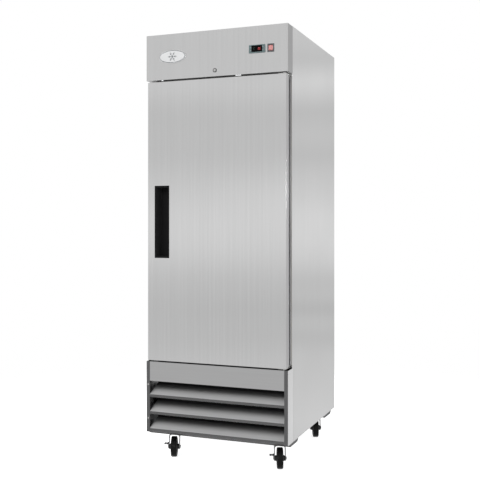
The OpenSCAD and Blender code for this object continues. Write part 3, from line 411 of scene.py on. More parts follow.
def finish_piece(obj, body, materials):
    """Gives a new piece its body, its materials and normals that keep flat faces flat."""
    even = obj.modifiers.new("even_normals", "WEIGHTED_NORMAL")
    even.keep_sharp = True
    even.weight = 90
    apply_modifiers(obj)
    for m in materials:
        obj.data.materials.append(MATERIALS[m])
    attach(obj, body)


def object_from(bm, name, smooth_angle=32):
    """A linked object whose edges are smooth up to an angle."""
    mesh = bpy.data.meshes.new(name)
    bmesh.ops.recalc_face_normals(bm, faces=bm.faces)
    limit = math.radians(smooth_angle)
    for f in bm.faces:
        f.smooth = True
    for edge in bm.edges:
        edge.smooth = len(edge.link_faces) == 2 and edge.calc_face_angle(0) < limit
    bm.to_mesh(mesh)
    bm.free()
    obj = bpy.data.objects.new(name, mesh)
    bpy.context.scene.collection.objects.link(obj)
    return obj


def apply_modifiers(obj):
    """Replaces the object's mesh by the result of its modifiers."""
    graph = bpy.context.evaluated_depsgraph_get()
    shown = obj.evaluated_get(graph)
    mesh = bpy.data.meshes.new_from_object(shown, preserve_all_data_layers=True, depsgraph=graph)
    obj.modifiers.clear()
    old = obj.data
    obj.data = mesh
    mesh.name = obj.name
    bpy.data.meshes.remove(old)
    return obj


def join(name, parts):
    """One object from several that aren't riding yet."""
    bm = bmesh.new()
    for part in parts:
        bm.from_mesh(part.data)
        bpy.data.objects.remove(part)
    return object_from(bm, name)


def mm(*rows):
    """Rows of millimetres as metres."""
    return [tuple(v * MM for v in row) for row in rows]


def arc(centre, radius, start, stop, steps):
    """Points on an arc, with its angles in degrees."""
    angles = [math.radians(start + (stop - start) * i / steps) for i in range(steps + 1)]
    return [(centre[0] + radius * math.cos(a), centre[1] + radius * math.sin(a)) for a in angles]


def filleted(points, radius, steps=4, closed=False):
    """A 2D line whose corners are replaced by arcs."""
    out = []
    n = len(points)
    for i, p in enumerate(points):
        if not closed and i in (0, n - 1):
            out.append(Vector(p))
            continue
        a, b, c = Vector(points[i - 1]), Vector(p), Vector(points[(i + 1) % n])
        u, v = (a - b), (c - b)
        r = min(radius, 0.45 * u.length, 0.45 * v.length)
        u, v = u.normalized(), v.normalized()
        for k in range(steps + 1):
            t = k / steps
            out.append(b + u * r * (1 - t) ** 2 + v * r * t ** 2)
    return out


def extruded(name, outline, axis, low, high, closed=True):
    """A 2D outline along X, Y or Z. Its own axes are the other two, in order."""
    bm = bmesh.new()
    places = {"x": lambda u, v, w: (w, u, v), "y": lambda u, v, w: (u, w, v), "z": lambda u, v, w: (u, v, w)}
    rings = [[bm.verts.new(places[axis](u, v, w)) for u, v in outline] for w in (low, high)]
    n = len(outline)
    for i in range(n if closed else n - 1):
        j = (i + 1) % n
        bm.faces.new((rings[0][i], rings[0][j], rings[1][j], rings[1][i]))
    if closed:
        bm.faces.new(rings[0])
        bm.faces.new(rings[1])
    return object_from(bm, name)


def folded_sheet(name, line, axis, low, high, thickness, radius=0.0015):
    """Sheet metal bent along a 2D line, whose material lies to the line's left."""
    line = filleted(line, radius)
    left = []
    for i, p in enumerate(line):
        a = line[max(i - 1, 0)]
        b = line[min(i + 1, len(line) - 1)]
        d = (b - a).normalized()
        left.append(p + Vector((-d.y, d.x)) * thickness)
    return extruded(name, list(line) + left[::-1], axis, low, high)


def rounded_block(name, low, high, radius=0.001, segments=2):
    """A box with rounded edges."""
    bm = bmesh.new()
    bmesh.ops.create_cube(bm, size=1)
    low, high = Vector(low), Vector(high)
    size = high - low
    for v in bm.verts:
        v.co = Vector((low[i] + size[i] * (v.co[i] + 0.5) for i in range(3)))
    r = min(radius, 0.45 * min(size))
    bmesh.ops.bevel(bm, geom=bm.edges[:], offset=r, segments=segments, profile=0.5, affect="EDGES")
    return object_from(bm, name, 50)


def pan(name, low, high, open_side, thickness, radius, segments=4):
    """A folded pan, open on +Y or -Y, with rounded outer folds."""
    bm = bmesh.new()
    bmesh.ops.create_cube(bm, size=1)
    low, high = Vector(low), Vector(high)
    size = high - low
    for v in bm.verts:
        v.co = Vector((low[i] + size[i] * (v.co[i] + 0.5) for i in range(3)))
    gone = [f for f in bm.faces if f.normal.y * open_side > 0.9]
    bmesh.ops.delete(bm, geom=gone, context="FACES")
    edges = [e for e in bm.edges if len(e.link_faces) == 2]
    bmesh.ops.bevel(bm, geom=edges, offset=radius, segments=segments, profile=0.5, affect="EDGES")
    obj = object_from(bm, name, 60)
    solid = obj.modifiers.new("wall", "SOLIDIFY")
    solid.thickness = thickness
    solid.offset = -1
    solid.use_even_offset = True
    return apply_modifiers(obj)


def cut(obj, boxes, rounds=()):
    """Cuts boxes (low, high) and cylinders along Y (x, z, radius, y0, y1) out of an object."""
    cutters = [rounded_block("cutter", low, high, 0.0001, 1) for low, high in boxes]
    for x, z, r, y0, y1 in rounds:
        cutters.append(lathed("cutter", [(0, y0), (r, y0), (r, y1), (0, y1)], (x, 0, z), "y", 40))
    for cutter in cutters:
        change = obj.modifiers.new("cut", "BOOLEAN")
        change.operation = "DIFFERENCE"
        change.solver = "EXACT"
        change.object = cutter
        apply_modifiers(obj)
        bpy.data.objects.remove(cutter)
    return obj


def lathed(name, outline, centre, axis, segments=48, smooth_angle=32):
    """Turns (radius, height) points about an axis through the centre."""
    bm = bmesh.new()
    frames = {"x": (Vector((0, 1, 0)), Vector((0, 0, 1)), Vector((1, 0, 0))),
              "y": (Vector((0, 0, 1)), Vector((1, 0, 0)), Vector((0, 1, 0))),
              "z": (Vector((1, 0, 0)), Vector((0, 1, 0)), Vector((0, 0, 1)))}
    u, v, w = frames[axis]
    centre = Vector(centre)
    rings = []
    for r, h in outline:
        if r < 1e-7:
            rings.append([bm.verts.new(centre + w * h)])
            continue
        angles = [2 * math.pi * i / segments for i in range(segments)]
        rings.append([bm.verts.new(centre + w * h + (u * math.cos(a) + v * math.sin(a)) * r) for a in angles])
    closed = outline[0][0] > 1e-7 and outline[-1][0] > 1e-7
    pairs = list(zip(rings, rings[1:])) + ([(rings[-1], rings[0])] if closed else [])
    for a, b in pairs:
        for i in range(segments):
            j = (i + 1) % segments
            quad = [a[i % len(a)], a[j % len(a)], b[j % len(b)], b[i % len(b)]]
            quad = [q for k, q in enumerate(quad) if q not in quad[:k]]
            if len(quad) > 2:
                bm.faces.new(quad)
    return object_from(bm, name, smooth_angle)


def smooth_line(points, steps=8):
    """A Catmull-Rom line through 3D points."""
    pts = [Vector(p) for p in points]
    pts = [pts[0] * 2 - pts[1]] + pts + [pts[-1] * 2 - pts[-2]]
    out = []
    for p0, p1, p2, p3 in zip(pts, pts[1:], pts[2:], pts[3:]):
        for k in range(steps):
            t = k / steps
            out.append(0.5 * (2 * p1 + (p2 - p0) * t + (2 * p0 - 5 * p1 + 4 * p2 - p3) * t * t
                              + (3 * p1 - p0 - 3 * p2 + p3) * t ** 3))
    out.append(pts[-2])
    return out


def tube(name, points, radius, sides=12, closed=False):
    """A round tube along 3D points, with closed ends."""
    bm = bmesh.new()
    pts = [Vector(p) for p in points]
    n = len(pts)
    rings = []
    up = Vector((0, 0, 1))
    for i, p in enumerate(pts):
        a = pts[i - 1] if closed or i else p
        b = pts[(i + 1) % n] if closed or i < n - 1 else p
        d = (b - a).normalized()
        if abs(d.dot(up)) > 0.95:
            up = Vector((1, 0, 0)) if abs(d.x) < 0.9 else Vector((0, 1, 0))
        side = d.cross(up).normalized()
        up = side.cross(d).normalized()
        angles = [2 * math.pi * k / sides for k in range(sides)]
        rings.append([bm.verts.new(p + (side * math.cos(t) + up * math.sin(t)) * radius) for t in angles])
    for i in range(n if closed else n - 1):
        a, b = rings[i], rings[(i + 1) % n]
        for k in range(sides):
            j = (k + 1) % sides
            bm.faces.new((a[k], a[j], b[j], b[k]))
    if not closed:
        bm.faces.new(rings[0])
        bm.faces.new(rings[-1][::-1])
    return object_from(bm, name, 50)


def framed(name, profile, x, z, turn=3):
    """Sweeps (inset, y) points round a rectangle, with mitred and slightly rounded corners."""
    bm = bmesh.new()
    rings = []
    for inset, y in profile:
        corners = [(x[0] + inset, z[0] + inset), (x[1] - inset, z[0] + inset),
                   (x[1] - inset, z[1] - inset), (x[0] + inset, z[1] - inset)]
        line = filleted(corners, max(0.004, 0.012 - inset * 0.2), turn, True)
        rings.append([bm.verts.new((u, y, v)) for u, v in line])
    n = len(rings[0])
    for a, b in zip(rings, rings[1:] + rings[:1]):
        for i in range(n):
            j = (i + 1) % n
            bm.faces.new((a[i], a[j], b[j], b[i]))
    return object_from(bm, name, 40)


def hex_head(name, centre, axis, radius, height, outward):
    """A chamfered hexagon head on a washer, from its seat outwards."""
    chamfer = radius * 0.12
    washer = height * 0.2
    outline = [(0, 0), (radius * 1.25, 0), (radius * 1.25, washer), (radius, washer),
               (radius, height - chamfer), (radius - chamfer, height), (0, height)]
    outline = [(r, h * outward) for r, h in outline]
    return lathed(name, outline, centre, axis, 6, 20)


def pan_head(name, centre, radius, height, outward=-1):
    """A domed screw head along Y with a cross recess."""
    turns = [math.radians(a) for a in (0, 20, 40, 60, 75)]
    outline = [(0, 0)] + [(radius * math.cos(t), height * math.sin(t)) for t in turns] + [(0, height)]
    head = lathed(name, [(r, h * outward) for r, h in outline], centre, "y", 24, 60)
    w, depth = radius * 0.14, height * 0.6
    y = sorted((centre[1] + outward * (height + depth), centre[1] + outward * (height - depth)))
    boxes = []
    for a, b in ((radius * 0.55, w), (w, radius * 0.55)):
        boxes.append(((centre[0] - a, y[0], centre[2] - b), (centre[0] + a, y[1], centre[2] + b)))
    return cut(head, boxes)


def softened(node, width_mm, material=None, segments=2, name=None):
    """A copy of a CAD node with rounded edges, which stands for it."""
    bm = bmesh.new()
    bm.from_mesh(NODES[node].data)
    bmesh.ops.remove_doubles(bm, verts=bm.verts, dist=1e-6)
    bmesh.ops.dissolve_limit(bm, angle_limit=math.radians(0.6), verts=bm.verts, edges=bm.edges)
    obj = object_from(bm, name, 30)
    change = obj.modifiers.new("soft_edges", "BEVEL")
    change.width = width_mm * MM
    change.segments = segments
    change.limit_method = "ANGLE"
    change.angle_limit = math.radians(35)
    apply_modifiers(obj)
    bm = bmesh.new()
    bm.from_mesh(obj.data)
    bpy.data.objects.remove(obj)
    obj = object_from(bm, name, 38)
    finish_piece(obj, BODY_OF[node], [material or SLOT_OF[node]])
    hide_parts(node)
    return obj


def stand_for(obj, node, materials=None, first=True):
    """A new piece of a CAD node, of which the first takes the node's place."""
    finish_piece(obj, BODY_OF[node], materials or [SLOT_OF[node]])
    if first:
        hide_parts(node)


def extra(obj, body, slot, material=None):
    """A new piece beside the CAD nodes."""
    finish_piece(obj, body, [material or slot])


def paint_faces(obj, index, test):
    """Gives the faces that pass the test another of the object's materials."""
    for f in obj.data.polygons:
        if test(f.normal, f.center):
            f.material_index = index


def paint_cad_nodes():
    """Each CAD node that still shows gets its slot's material."""
    for name, obj in NODES.items():
        obj.data.materials.clear()
        obj.data.materials.append(MATERIALS[SLOT_OF[name]])


paint_cad_nodes()

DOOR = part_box("door_skin")
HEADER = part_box("header_panel")
SIDEWAYS = 0.7           # a normal's share along an axis, from which a face counts as facing that way


def cam_slot(right, bottom, top):
    """The slot that the lock's cam swings down through."""
    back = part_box("lock_plug")[1].y
    cam_t, gap, left = 3 * MM, 3 * MM, -9 * MM
    return (left, back - cam_t - gap, bottom), (right, back + gap, top)


# ---------- The door ----------

def make_door_skin():
    low, high = DOOR
    tub_low, tub_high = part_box("door_handle")
    lip = 4 * MM
    through = 10 * MM
    window = ((tub_low.x + lip, low.y - through, tub_low.z + lip),
              (tub_high.x - lip, high.y + through, tub_high.z - lip))
    skin = pan("door_skin_panel", low, high, 1, 1.0 * MM, 2.4 * MM, 5)
    cut(skin, [window, cam_slot(33.6 * MM, high.z - 14 * MM, high.z + 5 * MM)])
    stand_for(skin, "door_skin", ["brushed_steel", "door_edge_painted_shade"])
    # The door's side edges get the painted shade.
    paint_faces(skin, 1, lambda n, c: abs(n.x) > SIDEWAYS)

    handle = softened("door_handle", 0.9, "black_plastic", 3, name="handle_moulding")
    handle.data.materials.append(MATERIALS["handle_wall_painted_light"])
    # The recess's left wall, facing +X, gets the painted light.
    paint_faces(handle, 1, lambda n, c: n.x > 0.5 and c.y > low.y)
    softened("door_bushes", 0.3, name="hinge_bushes")


def make_inner_panel():
    """A shallow pan with three ribs and a raised ring inside the gasket."""
    low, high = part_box("door_inner_panel")
    dam_t = 8 * MM
    back = high.y - dam_t
    inner = pan("inner_panel_sheet", low, (high.x, back, high.z), -1, 1.5 * MM, 3 * MM, 4)
    inset = 45 * MM
    dam = [(inset + u, back + v) for u, v in mm(
        (0, -0.8), (1, 4), (3, 7), (6, 8), (14, 8), (17, 7), (19, 4), (20, -0.8))]
    ring = framed("inner_panel_ring", dam, (low.x, high.x), (low.z, high.z))
    stand_for(inner, "door_inner_panel")
    extra(ring, "door", "inner_plastic")
    margin, half = 110 * MM, 28 * MM
    for share in (0.28, 0.5, 0.72):
        mid = low.z + (high.z - low.z) * share
        name = "inner_panel_rib_%d" % round(share * 100)
        rib = rounded_block(name, (low.x + margin, back - 0.6 * MM, mid - half),
                            (high.x - margin, back + 3 * MM, mid + half), 2.5 * MM, 3)
        extra(rib, "door", "inner_plastic")


def make_gasket():
    """A bellows section between a flat foot and a soft face."""
    low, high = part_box("door_gasket")
    depth = (high.y - low.y) / MM
    profile = [(u, low.y + v) for u, v in mm(
        (0, 0), (0, 2), (1.5, 3), (0.5, 5), (2, 6.5), (1, 8.5), (2, depth - 0.6), (4, depth), (15, depth),
        (17, depth - 0.8), (17.5, 7), (16.5, 5), (18, 3.5), (22, 2), (22, 0))]
    gasket = framed("gasket_ring", profile, (low.x, high.x), (low.z, high.z), 4)
    stand_for(gasket, "door_gasket")


def make_hinges():
    softened("hinge_brackets", 0.5, name="hinge_plates")
    low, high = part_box("hinge_brackets")
    seat = high.y - 2.8 * MM
    half_leg = 9.2 * MM
    for z, tag in ((low.z + half_leg, "lower"), (high.z - half_leg, "upper")):
        for x in (low.x + 8 * MM, low.x + 28 * MM):
            head = pan_head("hinge_screw_%s_%d" % (tag, round(x * 1000)), (x, seat, z), 3.6 * MM, 1.8 * MM)
            extra(head, "cabinet", "zinc_plate")


make_door_skin()
make_inner_panel()
make_gasket()
make_hinges()


# ---------- The header and its controls ----------

# The bars that are lit in a seven-segment digit
SEGMENTS = {"3": "abgcd", "6": "afgedc"}


def seven_segments(name, digit, x, z, y, w, h, bar):
    """One generic digit made of raised bars, leaning slightly."""
    # For each bar: its place across and up the digit, and whether it is level
    places = {"a": (0, 1, True), "b": (1, 0.5, False), "c": (1, -0.5, False), "d": (0, -1, True),
              "e": (-1, -0.5, False), "f": (-1, 0.5, False), "g": (0, 0, True)}
    lean, gap = 0.05, 0.7
    parts = []
    for key in SEGMENTS[digit]:
        sx, sz, level = places[key]
        cx, cz = x + sx * w / 2 + sz * h * lean, z + sz * h / 2
        dx, dz = (w / 2 - bar * gap, bar / 2) if level else (bar / 2, h / 4 - bar * gap)
        corners = (cx - dx, y - 0.3 * MM, cz - dz), (cx + dx, y, cz + dz)
        parts.append(rounded_block("bar", *corners, 0.12 * MM, 1))
    return join(name, parts)


def make_display(face):
    low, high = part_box("controller_display")
    side, below, above = 2 * MM, 3 * MM, 4 * MM
    window = rounded_block("display_window", (low.x - side, face, low.z - below),
                           (high.x + side, high.y, high.z + above), 0.8 * MM)
    stand_for(window, "controller_display")
    mid_x, mid_z = (low.x + high.x) / 2, (low.z + high.z) / 2
    pitch = 9 * MM
    for i, digit in enumerate("36"):
        x = mid_x + 7 * MM + i * pitch
        made = seven_segments("display_digit_%d" % i, digit, x, mid_z, face, 5 * MM, 10 * MM, 1.3 * MM)
        extra(made, "cabinet", "red_lens", "digit_red")
    dome = mm((0, 0), (1.1, 0), (0.8, -0.3), (0, -0.4))
    for i, z in enumerate((5.5 * MM, -0.5 * MM)):
        lamp = lathed("display_lamp_%d" % i, dome, (mid_x - 14 * MM, face, mid_z + z), "y", 12)
        extra(lamp, "cabinet", "red_lens", "digit_green")


def make_controls():
    softened("controller_bezel", 0.8, "grey_plastic", 3, name="controller_case")
    make_display(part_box("controller_bezel")[0].y - 0.3 * MM)
    inset, half = 2.4 * MM, 0.7 * MM
    for tag in ("upper_left", "lower_left", "upper_right", "lower_right"):
        node = "button_" + tag
        softened(node, 0.9, "grey_plastic", 3, name=node + "_key")
        low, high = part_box(node)
        mid = (low.z + high.z) / 2
        mark = rounded_block(node + "_mark", (low.x + inset, low.y - 0.15 * MM, mid - half),
                             (high.x - inset, low.y + 0.2 * MM, mid + half), 0.15 * MM)
        extra(mark, node, "dark_plastic", "label_white")
    softened("switch_bezel", 0.7, "dark_plastic", 3, name="switch_frame")
    softened("light_rocker", 0.8, "red_lens", 3, name="rocker_lens")


def make_lock():
    softened("lock_barrel", 0.5, "fork_plate", name="lock_collar")
    softened("lock_plug", 0.35, name="lock_core")


def oval_rings(name, node, outline, cap):
    """Sweeps (inset, y) points round an oval as large as a node, open or capped at both ends."""
    low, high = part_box(node)
    mid = (low + high) / 2
    a, b = (high.x - low.x) / 2, (high.z - low.z) / 2
    steps = 96
    angles = [2 * math.pi * i / steps for i in range(steps)]
    bm = bmesh.new()
    loops = [[bm.verts.new((mid.x + (a - inset) * math.cos(t), y, mid.z + (b - inset) * math.sin(t)))
              for t in angles] for inset, y in outline]
    pairs = list(zip(loops, loops[1:])) + ([] if cap else [(loops[-1], loops[0])])
    for p, q in pairs:
        for i in range(steps):
            j = (i + 1) % steps
            bm.faces.new((p[i], p[j], q[j], q[i]))
    if cap:
        bm.faces.new(loops[0])
        bm.faces.new(loops[-1])
    return object_from(bm, name, 40)


def make_snowflake(mid, front):
    """Three crossed bars with a pair of twigs on each arm."""
    reach, bar = 24 * MM, 2.2 * MM
    fork, twig = 12 * MM, 7 * MM
    relief = 0.45 * MM
    parts = [(0, 0, i * 60, reach * 2, bar) for i in range(3)]
    for arm in range(0, 360, 60):
        t = math.radians(arm)
        for turn in (arm - 45, arm + 45):
            s = math.radians(turn)
            x = fork * math.cos(t) + twig / 2 * math.cos(s)
            z = fork * math.sin(t) + twig / 2 * math.sin(s)
            parts.append((x, z, turn, twig, bar * 0.8))
    made = []
    for dx, dz, turn, length, width in parts:
        corners = (-length / 2, front, -width / 2), (length / 2, front + relief, width / 2)
        piece = rounded_block("arm", *corners, 0.12 * MM, 1)
        turned_by = Matrix.Rotation(math.radians(-turn), 4, "Y")
        piece.data.transform(Matrix.Translation((mid.x + dx, 0, mid.z + dz)) @ turned_by)
        made.append(piece)
    extra(join("badge_snowflake", made), "cabinet", "badge_plate", "emblem_grey")


def make_badge():
    """A white oval with a metal rim and a plain snowflake."""
    low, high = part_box("badge_plate")
    y0, y1 = low.y, high.y
    enamel = [(2.5 * MM, y1), (2.5 * MM, y0 + 0.6 * MM), (8 * MM, y0 + 0.35 * MM), (20 * MM, y0 + 0.25 * MM)]
    stand_for(oval_rings("badge_enamel", "badge_plate", enamel, True), "badge_plate")
    rim = [(0, y1), (0, y0 + 0.5 * MM), (0.5 * MM, y0), (2 * MM, y0), (2.8 * MM, y0 + 0.6 * MM), (2.8 * MM, y1)]
    extra(oval_rings("badge_rim", "badge_plate", rim, False), "cabinet", "zinc_plate")
    line = [(inset, y0 + depth) for inset, depth in mm((5, 0.7), (5, 0.2), (7.5, 0.2), (7.5, 0.7))]
    extra(oval_rings("badge_line", "badge_plate", line, False), "cabinet", "badge_plate", "emblem_grey")
    make_snowflake((low + high) / 2, y0 + 0.02 * MM)


def make_header():
    low, high = HEADER
    through = 10 * MM
    shell = pan("header_shell", low, high, 1, 1.2 * MM, 1.8 * MM, 4)
    boxes = []
    for node, edge in (("controller_bezel", 5.5 * MM), ("switch_bezel", 3.5 * MM)):
        b_low, b_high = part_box(node)
        boxes.append(((b_low.x + edge, low.y - through, b_low.z + edge),
                      (b_high.x - edge, low.y + through, b_high.z - edge)))
    boxes.append(cam_slot(42 * MM, low.z - through, low.z + 6 * MM))
    b_low, b_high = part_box("lock_barrel")
    hole = ((b_low.x + b_high.x) / 2, (b_low.z + b_high.z) / 2, 8.45 * MM, low.y - through, low.y + through)
    cut(shell, boxes, [hole])
    stand_for(shell, "header_panel", ["header_steel", "header_side_painted_shade"])
    # The side returns get the painted shade.
    paint_faces(shell, 1, lambda n, c: abs(n.x) > SIDEWAYS)


def make_door_switch():
    """A pale sensor block and a stud under the header, seen in the gap over the door."""
    low = HEADER[0]
    front, bottom = low.y + 2 * MM, low.z - 4.5 * MM
    for name, left, right, depth in (("door_switch_block", 106, 134, 12), ("header_stud", -286, -277, 8)):
        corners = (left * MM, front, bottom), (right * MM, front + depth * MM, low.z)
        block = rounded_block(name, *corners, 0.8 * MM)
        extra(block, "cabinet", "lamp_white", "label_white")


make_header()
make_door_switch()
make_controls()
make_lock()
make_badge()


# ---------- The grille ----------

def make_grille_brackets(front, flange, t):
    low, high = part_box("grille_brackets")
    for side, tag in HANDS:
        x = side * high.x
        line = [(x - side * flange, front), (x, front), (x, high.y)]
        sheet = folded_sheet("grille_bracket_" + tag, line[::side], "z", low.z, high.z, t, 2.2 * MM)
        # The outer side faces get the painted highlight; the front, back and inner faces get painted shade.
        stand_for(sheet, "grille_brackets", ["bracket_side_painted_highlight", "grille_steel_painted_shade"], side > 0)
        paint_faces(sheet, 1, lambda n, c: abs(n.y) > SIDEWAYS or abs(c.x) < high.x - 2 * t)


def make_louvres(front, half, t):
    """Three bent blades with a folded lip in front and a tab at each end."""
    low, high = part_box("grille_louvres")
    lip, depth, pitch = 13 * MM, high.y - front, 84 * MM
    rise = high.z - low.z - lip - 2 * pitch
    for i in range(3):
        top = low.z + lip + i * pitch
        line = [(front + 5 * MM, top - lip), (front, top - lip), (front, top), (front + depth, top + rise)]
        blade = folded_sheet("grille_louvre_%d" % (i + 1), line[::-1], "x", -half, half, t, 1.6 * MM)
        stand_for(blade, "grille_louvres", ["louvre_top", "grille_steel_painted_shade"], i == 0)
        # The lips' upright faces get the painted shade.
        paint_faces(blade, 1, lambda n, c: abs(n.y) > SIDEWAYS)
        ends = [(front + 3 * MM, top - lip + 1 * MM), (front + depth - 2 * MM, top + rise - 14 * MM),
                (front + depth - 2 * MM, top + rise - 1.4 * MM), (front + 3 * MM, top - 0.4 * MM)]
        for side, tag in HANDS:
            x = sorted((side * half, side * (half - t)))
            tab = extruded("louvre_end_%d_%s" % (i + 1, tag), ends, "x", x[0], x[1])
            # The end tabs get the painted shade.
            extra(tab, "cabinet", "grille_steel", "grille_steel_painted_shade")


def make_grille_screws(front, x_mid):
    low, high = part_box("grille_screws")
    radius = 4 * MM
    bottom, top = low.z + radius, high.z - radius
    for side, tag in HANDS:
        for z in (bottom, top):
            name = "grille_screw_%s_%d" % (tag, round(z * 1000))
            head = pan_head(name, (side * x_mid, front, z), radius, 1.5 * MM)
            finish = "rail_paint" if side > 0 else "zinc_plate"
            stand_for(head, "grille_screws", [finish], side > 0 and z == bottom)


def make_grille():
    low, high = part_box("grille_brackets")
    flange, t, fold = 18.4 * MM, 1.2 * MM, 15 * MM
    half = high.x - flange - 0.5 * MM
    make_grille_brackets(low.y, flange, t)
    p_low, p_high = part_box("grille_panel")
    line = [(low.y + fold, p_low.z), (low.y, p_low.z), (low.y, p_high.z), (low.y + fold, p_high.z)]
    panel = folded_sheet("grille_front_panel", line[::-1], "x", -half, half, t, 1.8 * MM)
    stand_for(panel, "grille_panel", ["grille_steel", "grille_steel_painted_shade"])
    # The panel's top flange gets the painted shade.
    paint_faces(panel, 1, lambda n, c: n.z > SIDEWAYS and c.z > p_high.z - 2 * t)
    make_louvres(low.y, half, t)

    # A black sheet behind the louvres, put there as painted shade so that the space behind the blades shows black.
    deck_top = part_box("base_deck")[1].z
    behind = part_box("grille_louvres")[1].y + 5 * MM
    gap = 0.5 * MM
    screen = rounded_block("painted_shade_screen", (-half, behind, deck_top + gap),
                           (half, behind + 4 * MM, p_high.z - gap), 1 * MM)
    extra(screen, "cabinet", "dark_plastic", "black_plastic")
    make_grille_screws(low.y, high.x - flange / 2)


make_grille()


# ---------- The condensing unit ----------

def finned_coil(node, name, fins):
    """Thin fins, copper tubes and their return bends in place of a plain coil block."""
    low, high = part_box(node)
    overhang, rows, radius = 14 * MM, 6, 5 * MM
    x0, x1 = low.x + overhang, high.x - overhang
    half_fin = 0.3 * MM
    parts = []
    for i in range(fins):
        x = x0 + i * (x1 - x0) / (fins - 1)
        corners = (x - half_fin, low.y, low.z), (x + half_fin, high.y, high.z)
        parts.append(rounded_block("fin", *corners, 0.1 * MM, 1))
    stand_for(join(name + "_fins", parts), node)
    pitch = (high.z - low.z) / rows
    ys = [low.y + (high.y - low.y) * k for k in (0.25, 0.75)]
    zs = [low.z + pitch * (i + 0.5) for i in range(rows)]
    end0, end1 = x0 - 2 * MM, x1 + 2 * MM
    tubes = [tube("run", [(end0, y, z), (end1, y, z)], radius * 0.95) for y in ys for z in zs]
    for k, y in enumerate(ys):
        for i, (z0, z1) in enumerate(zip(zs, zs[1:])):
            side, end = (1, end1) if (i + k) % 2 else (-1, end0)
            near, far, rise = end + side * 6 * MM, end + side * 7 * MM, 2 * MM
            points = [(end, y, z0), (near, y, z0 + rise), (far, y, (z0 + z1) / 2),
                      (near, y, z1 - rise), (end, y, z1)]
            tubes.append(tube("bend", smooth_line(points, 4), radius * 0.8, 10))
    extra(join(name + "_tubes", tubes), "cabinet", "coil_fins", "copper")


def fan_blade(centre, radius, hub_r, half, turn):
    """A blade of a given outer radius, whose depth stays within the rotor's half depth."""
    rows, columns = 8, 8
    root = hub_r * 0.9
    chord = radius * 0.55
    deepest = half - 1.2 * MM
    tip_round = 4 * MM
    bm = bmesh.new()
    grid = []
    for i in range(rows + 1):
        t = i / rows
        r = root + (radius - root) * t
        pitch = math.radians(36 - 10 * t)
        width = chord * (0.62 + 0.5 * t - 0.28 * t * t)
        row = []
        for j in range(columns + 1):
            s = j / columns - 0.5
            camber = 0.07 * width * (1 - 4 * s * s)
            depth = max(-deepest, min(deepest, s * width * math.sin(pitch) + camber))
            angle = math.radians(turn) + s * width * math.cos(pitch) / r + 0.12 * t
            reach = r - tip_round * (2 * s) ** 4 * t
            row.append(bm.verts.new(centre + Vector((math.cos(angle) * reach, depth, math.sin(angle) * reach))))
        grid.append(row)
    for a, b in zip(grid, grid[1:]):
        for j in range(columns):
            bm.faces.new((a[j], a[j + 1], b[j + 1], b[j]))
    blade = object_from(bm, "blade", 60)
    solid = blade.modifiers.new("wall", "SOLIDIFY")
    solid.thickness = 1.4 * MM
    solid.offset = 0
    return apply_modifiers(blade)


def make_fan(node, name, material, radius):
    """Five cambered, twisted blades on a hub."""
    low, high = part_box(node)
    centre = Vector(JOINT_OF[BODY_OF[node]]["pos_m"])
    hub_r, half_l, bore, edge = 22 * MM, 10 * MM, 3.06 * MM, 3 * MM
    hub = [(bore, -half_l), (hub_r - edge, -half_l), (hub_r, -half_l + edge), (hub_r, half_l), (bore, half_l)]
    parts = [lathed("hub", hub, centre, "y", 40)]
    for turn in range(0, 360, 72):
        parts.append(fan_blade(centre, radius, hub_r, (high.y - low.y) / 2, turn))
    stand_for(join(name, parts), node, [material])


def compressor_mount(place, tag, bolt_z):
    """A rubber grommet with a bolt through it."""
    rubber = mm((4, 0), (9, 0), (9, 3), (6.5, 4.5), (9, 6), (9, 9), (4, 9))
    extra(lathed("compressor_grommet_" + tag, rubber, place, "z", 24), "cabinet", "tyre_rubber")
    bolt = hex_head("compressor_bolt_" + tag, (place[0], place[1], bolt_z), "z", 5 * MM, 4 * MM, 1)
    extra(bolt, "cabinet", "zinc_plate")


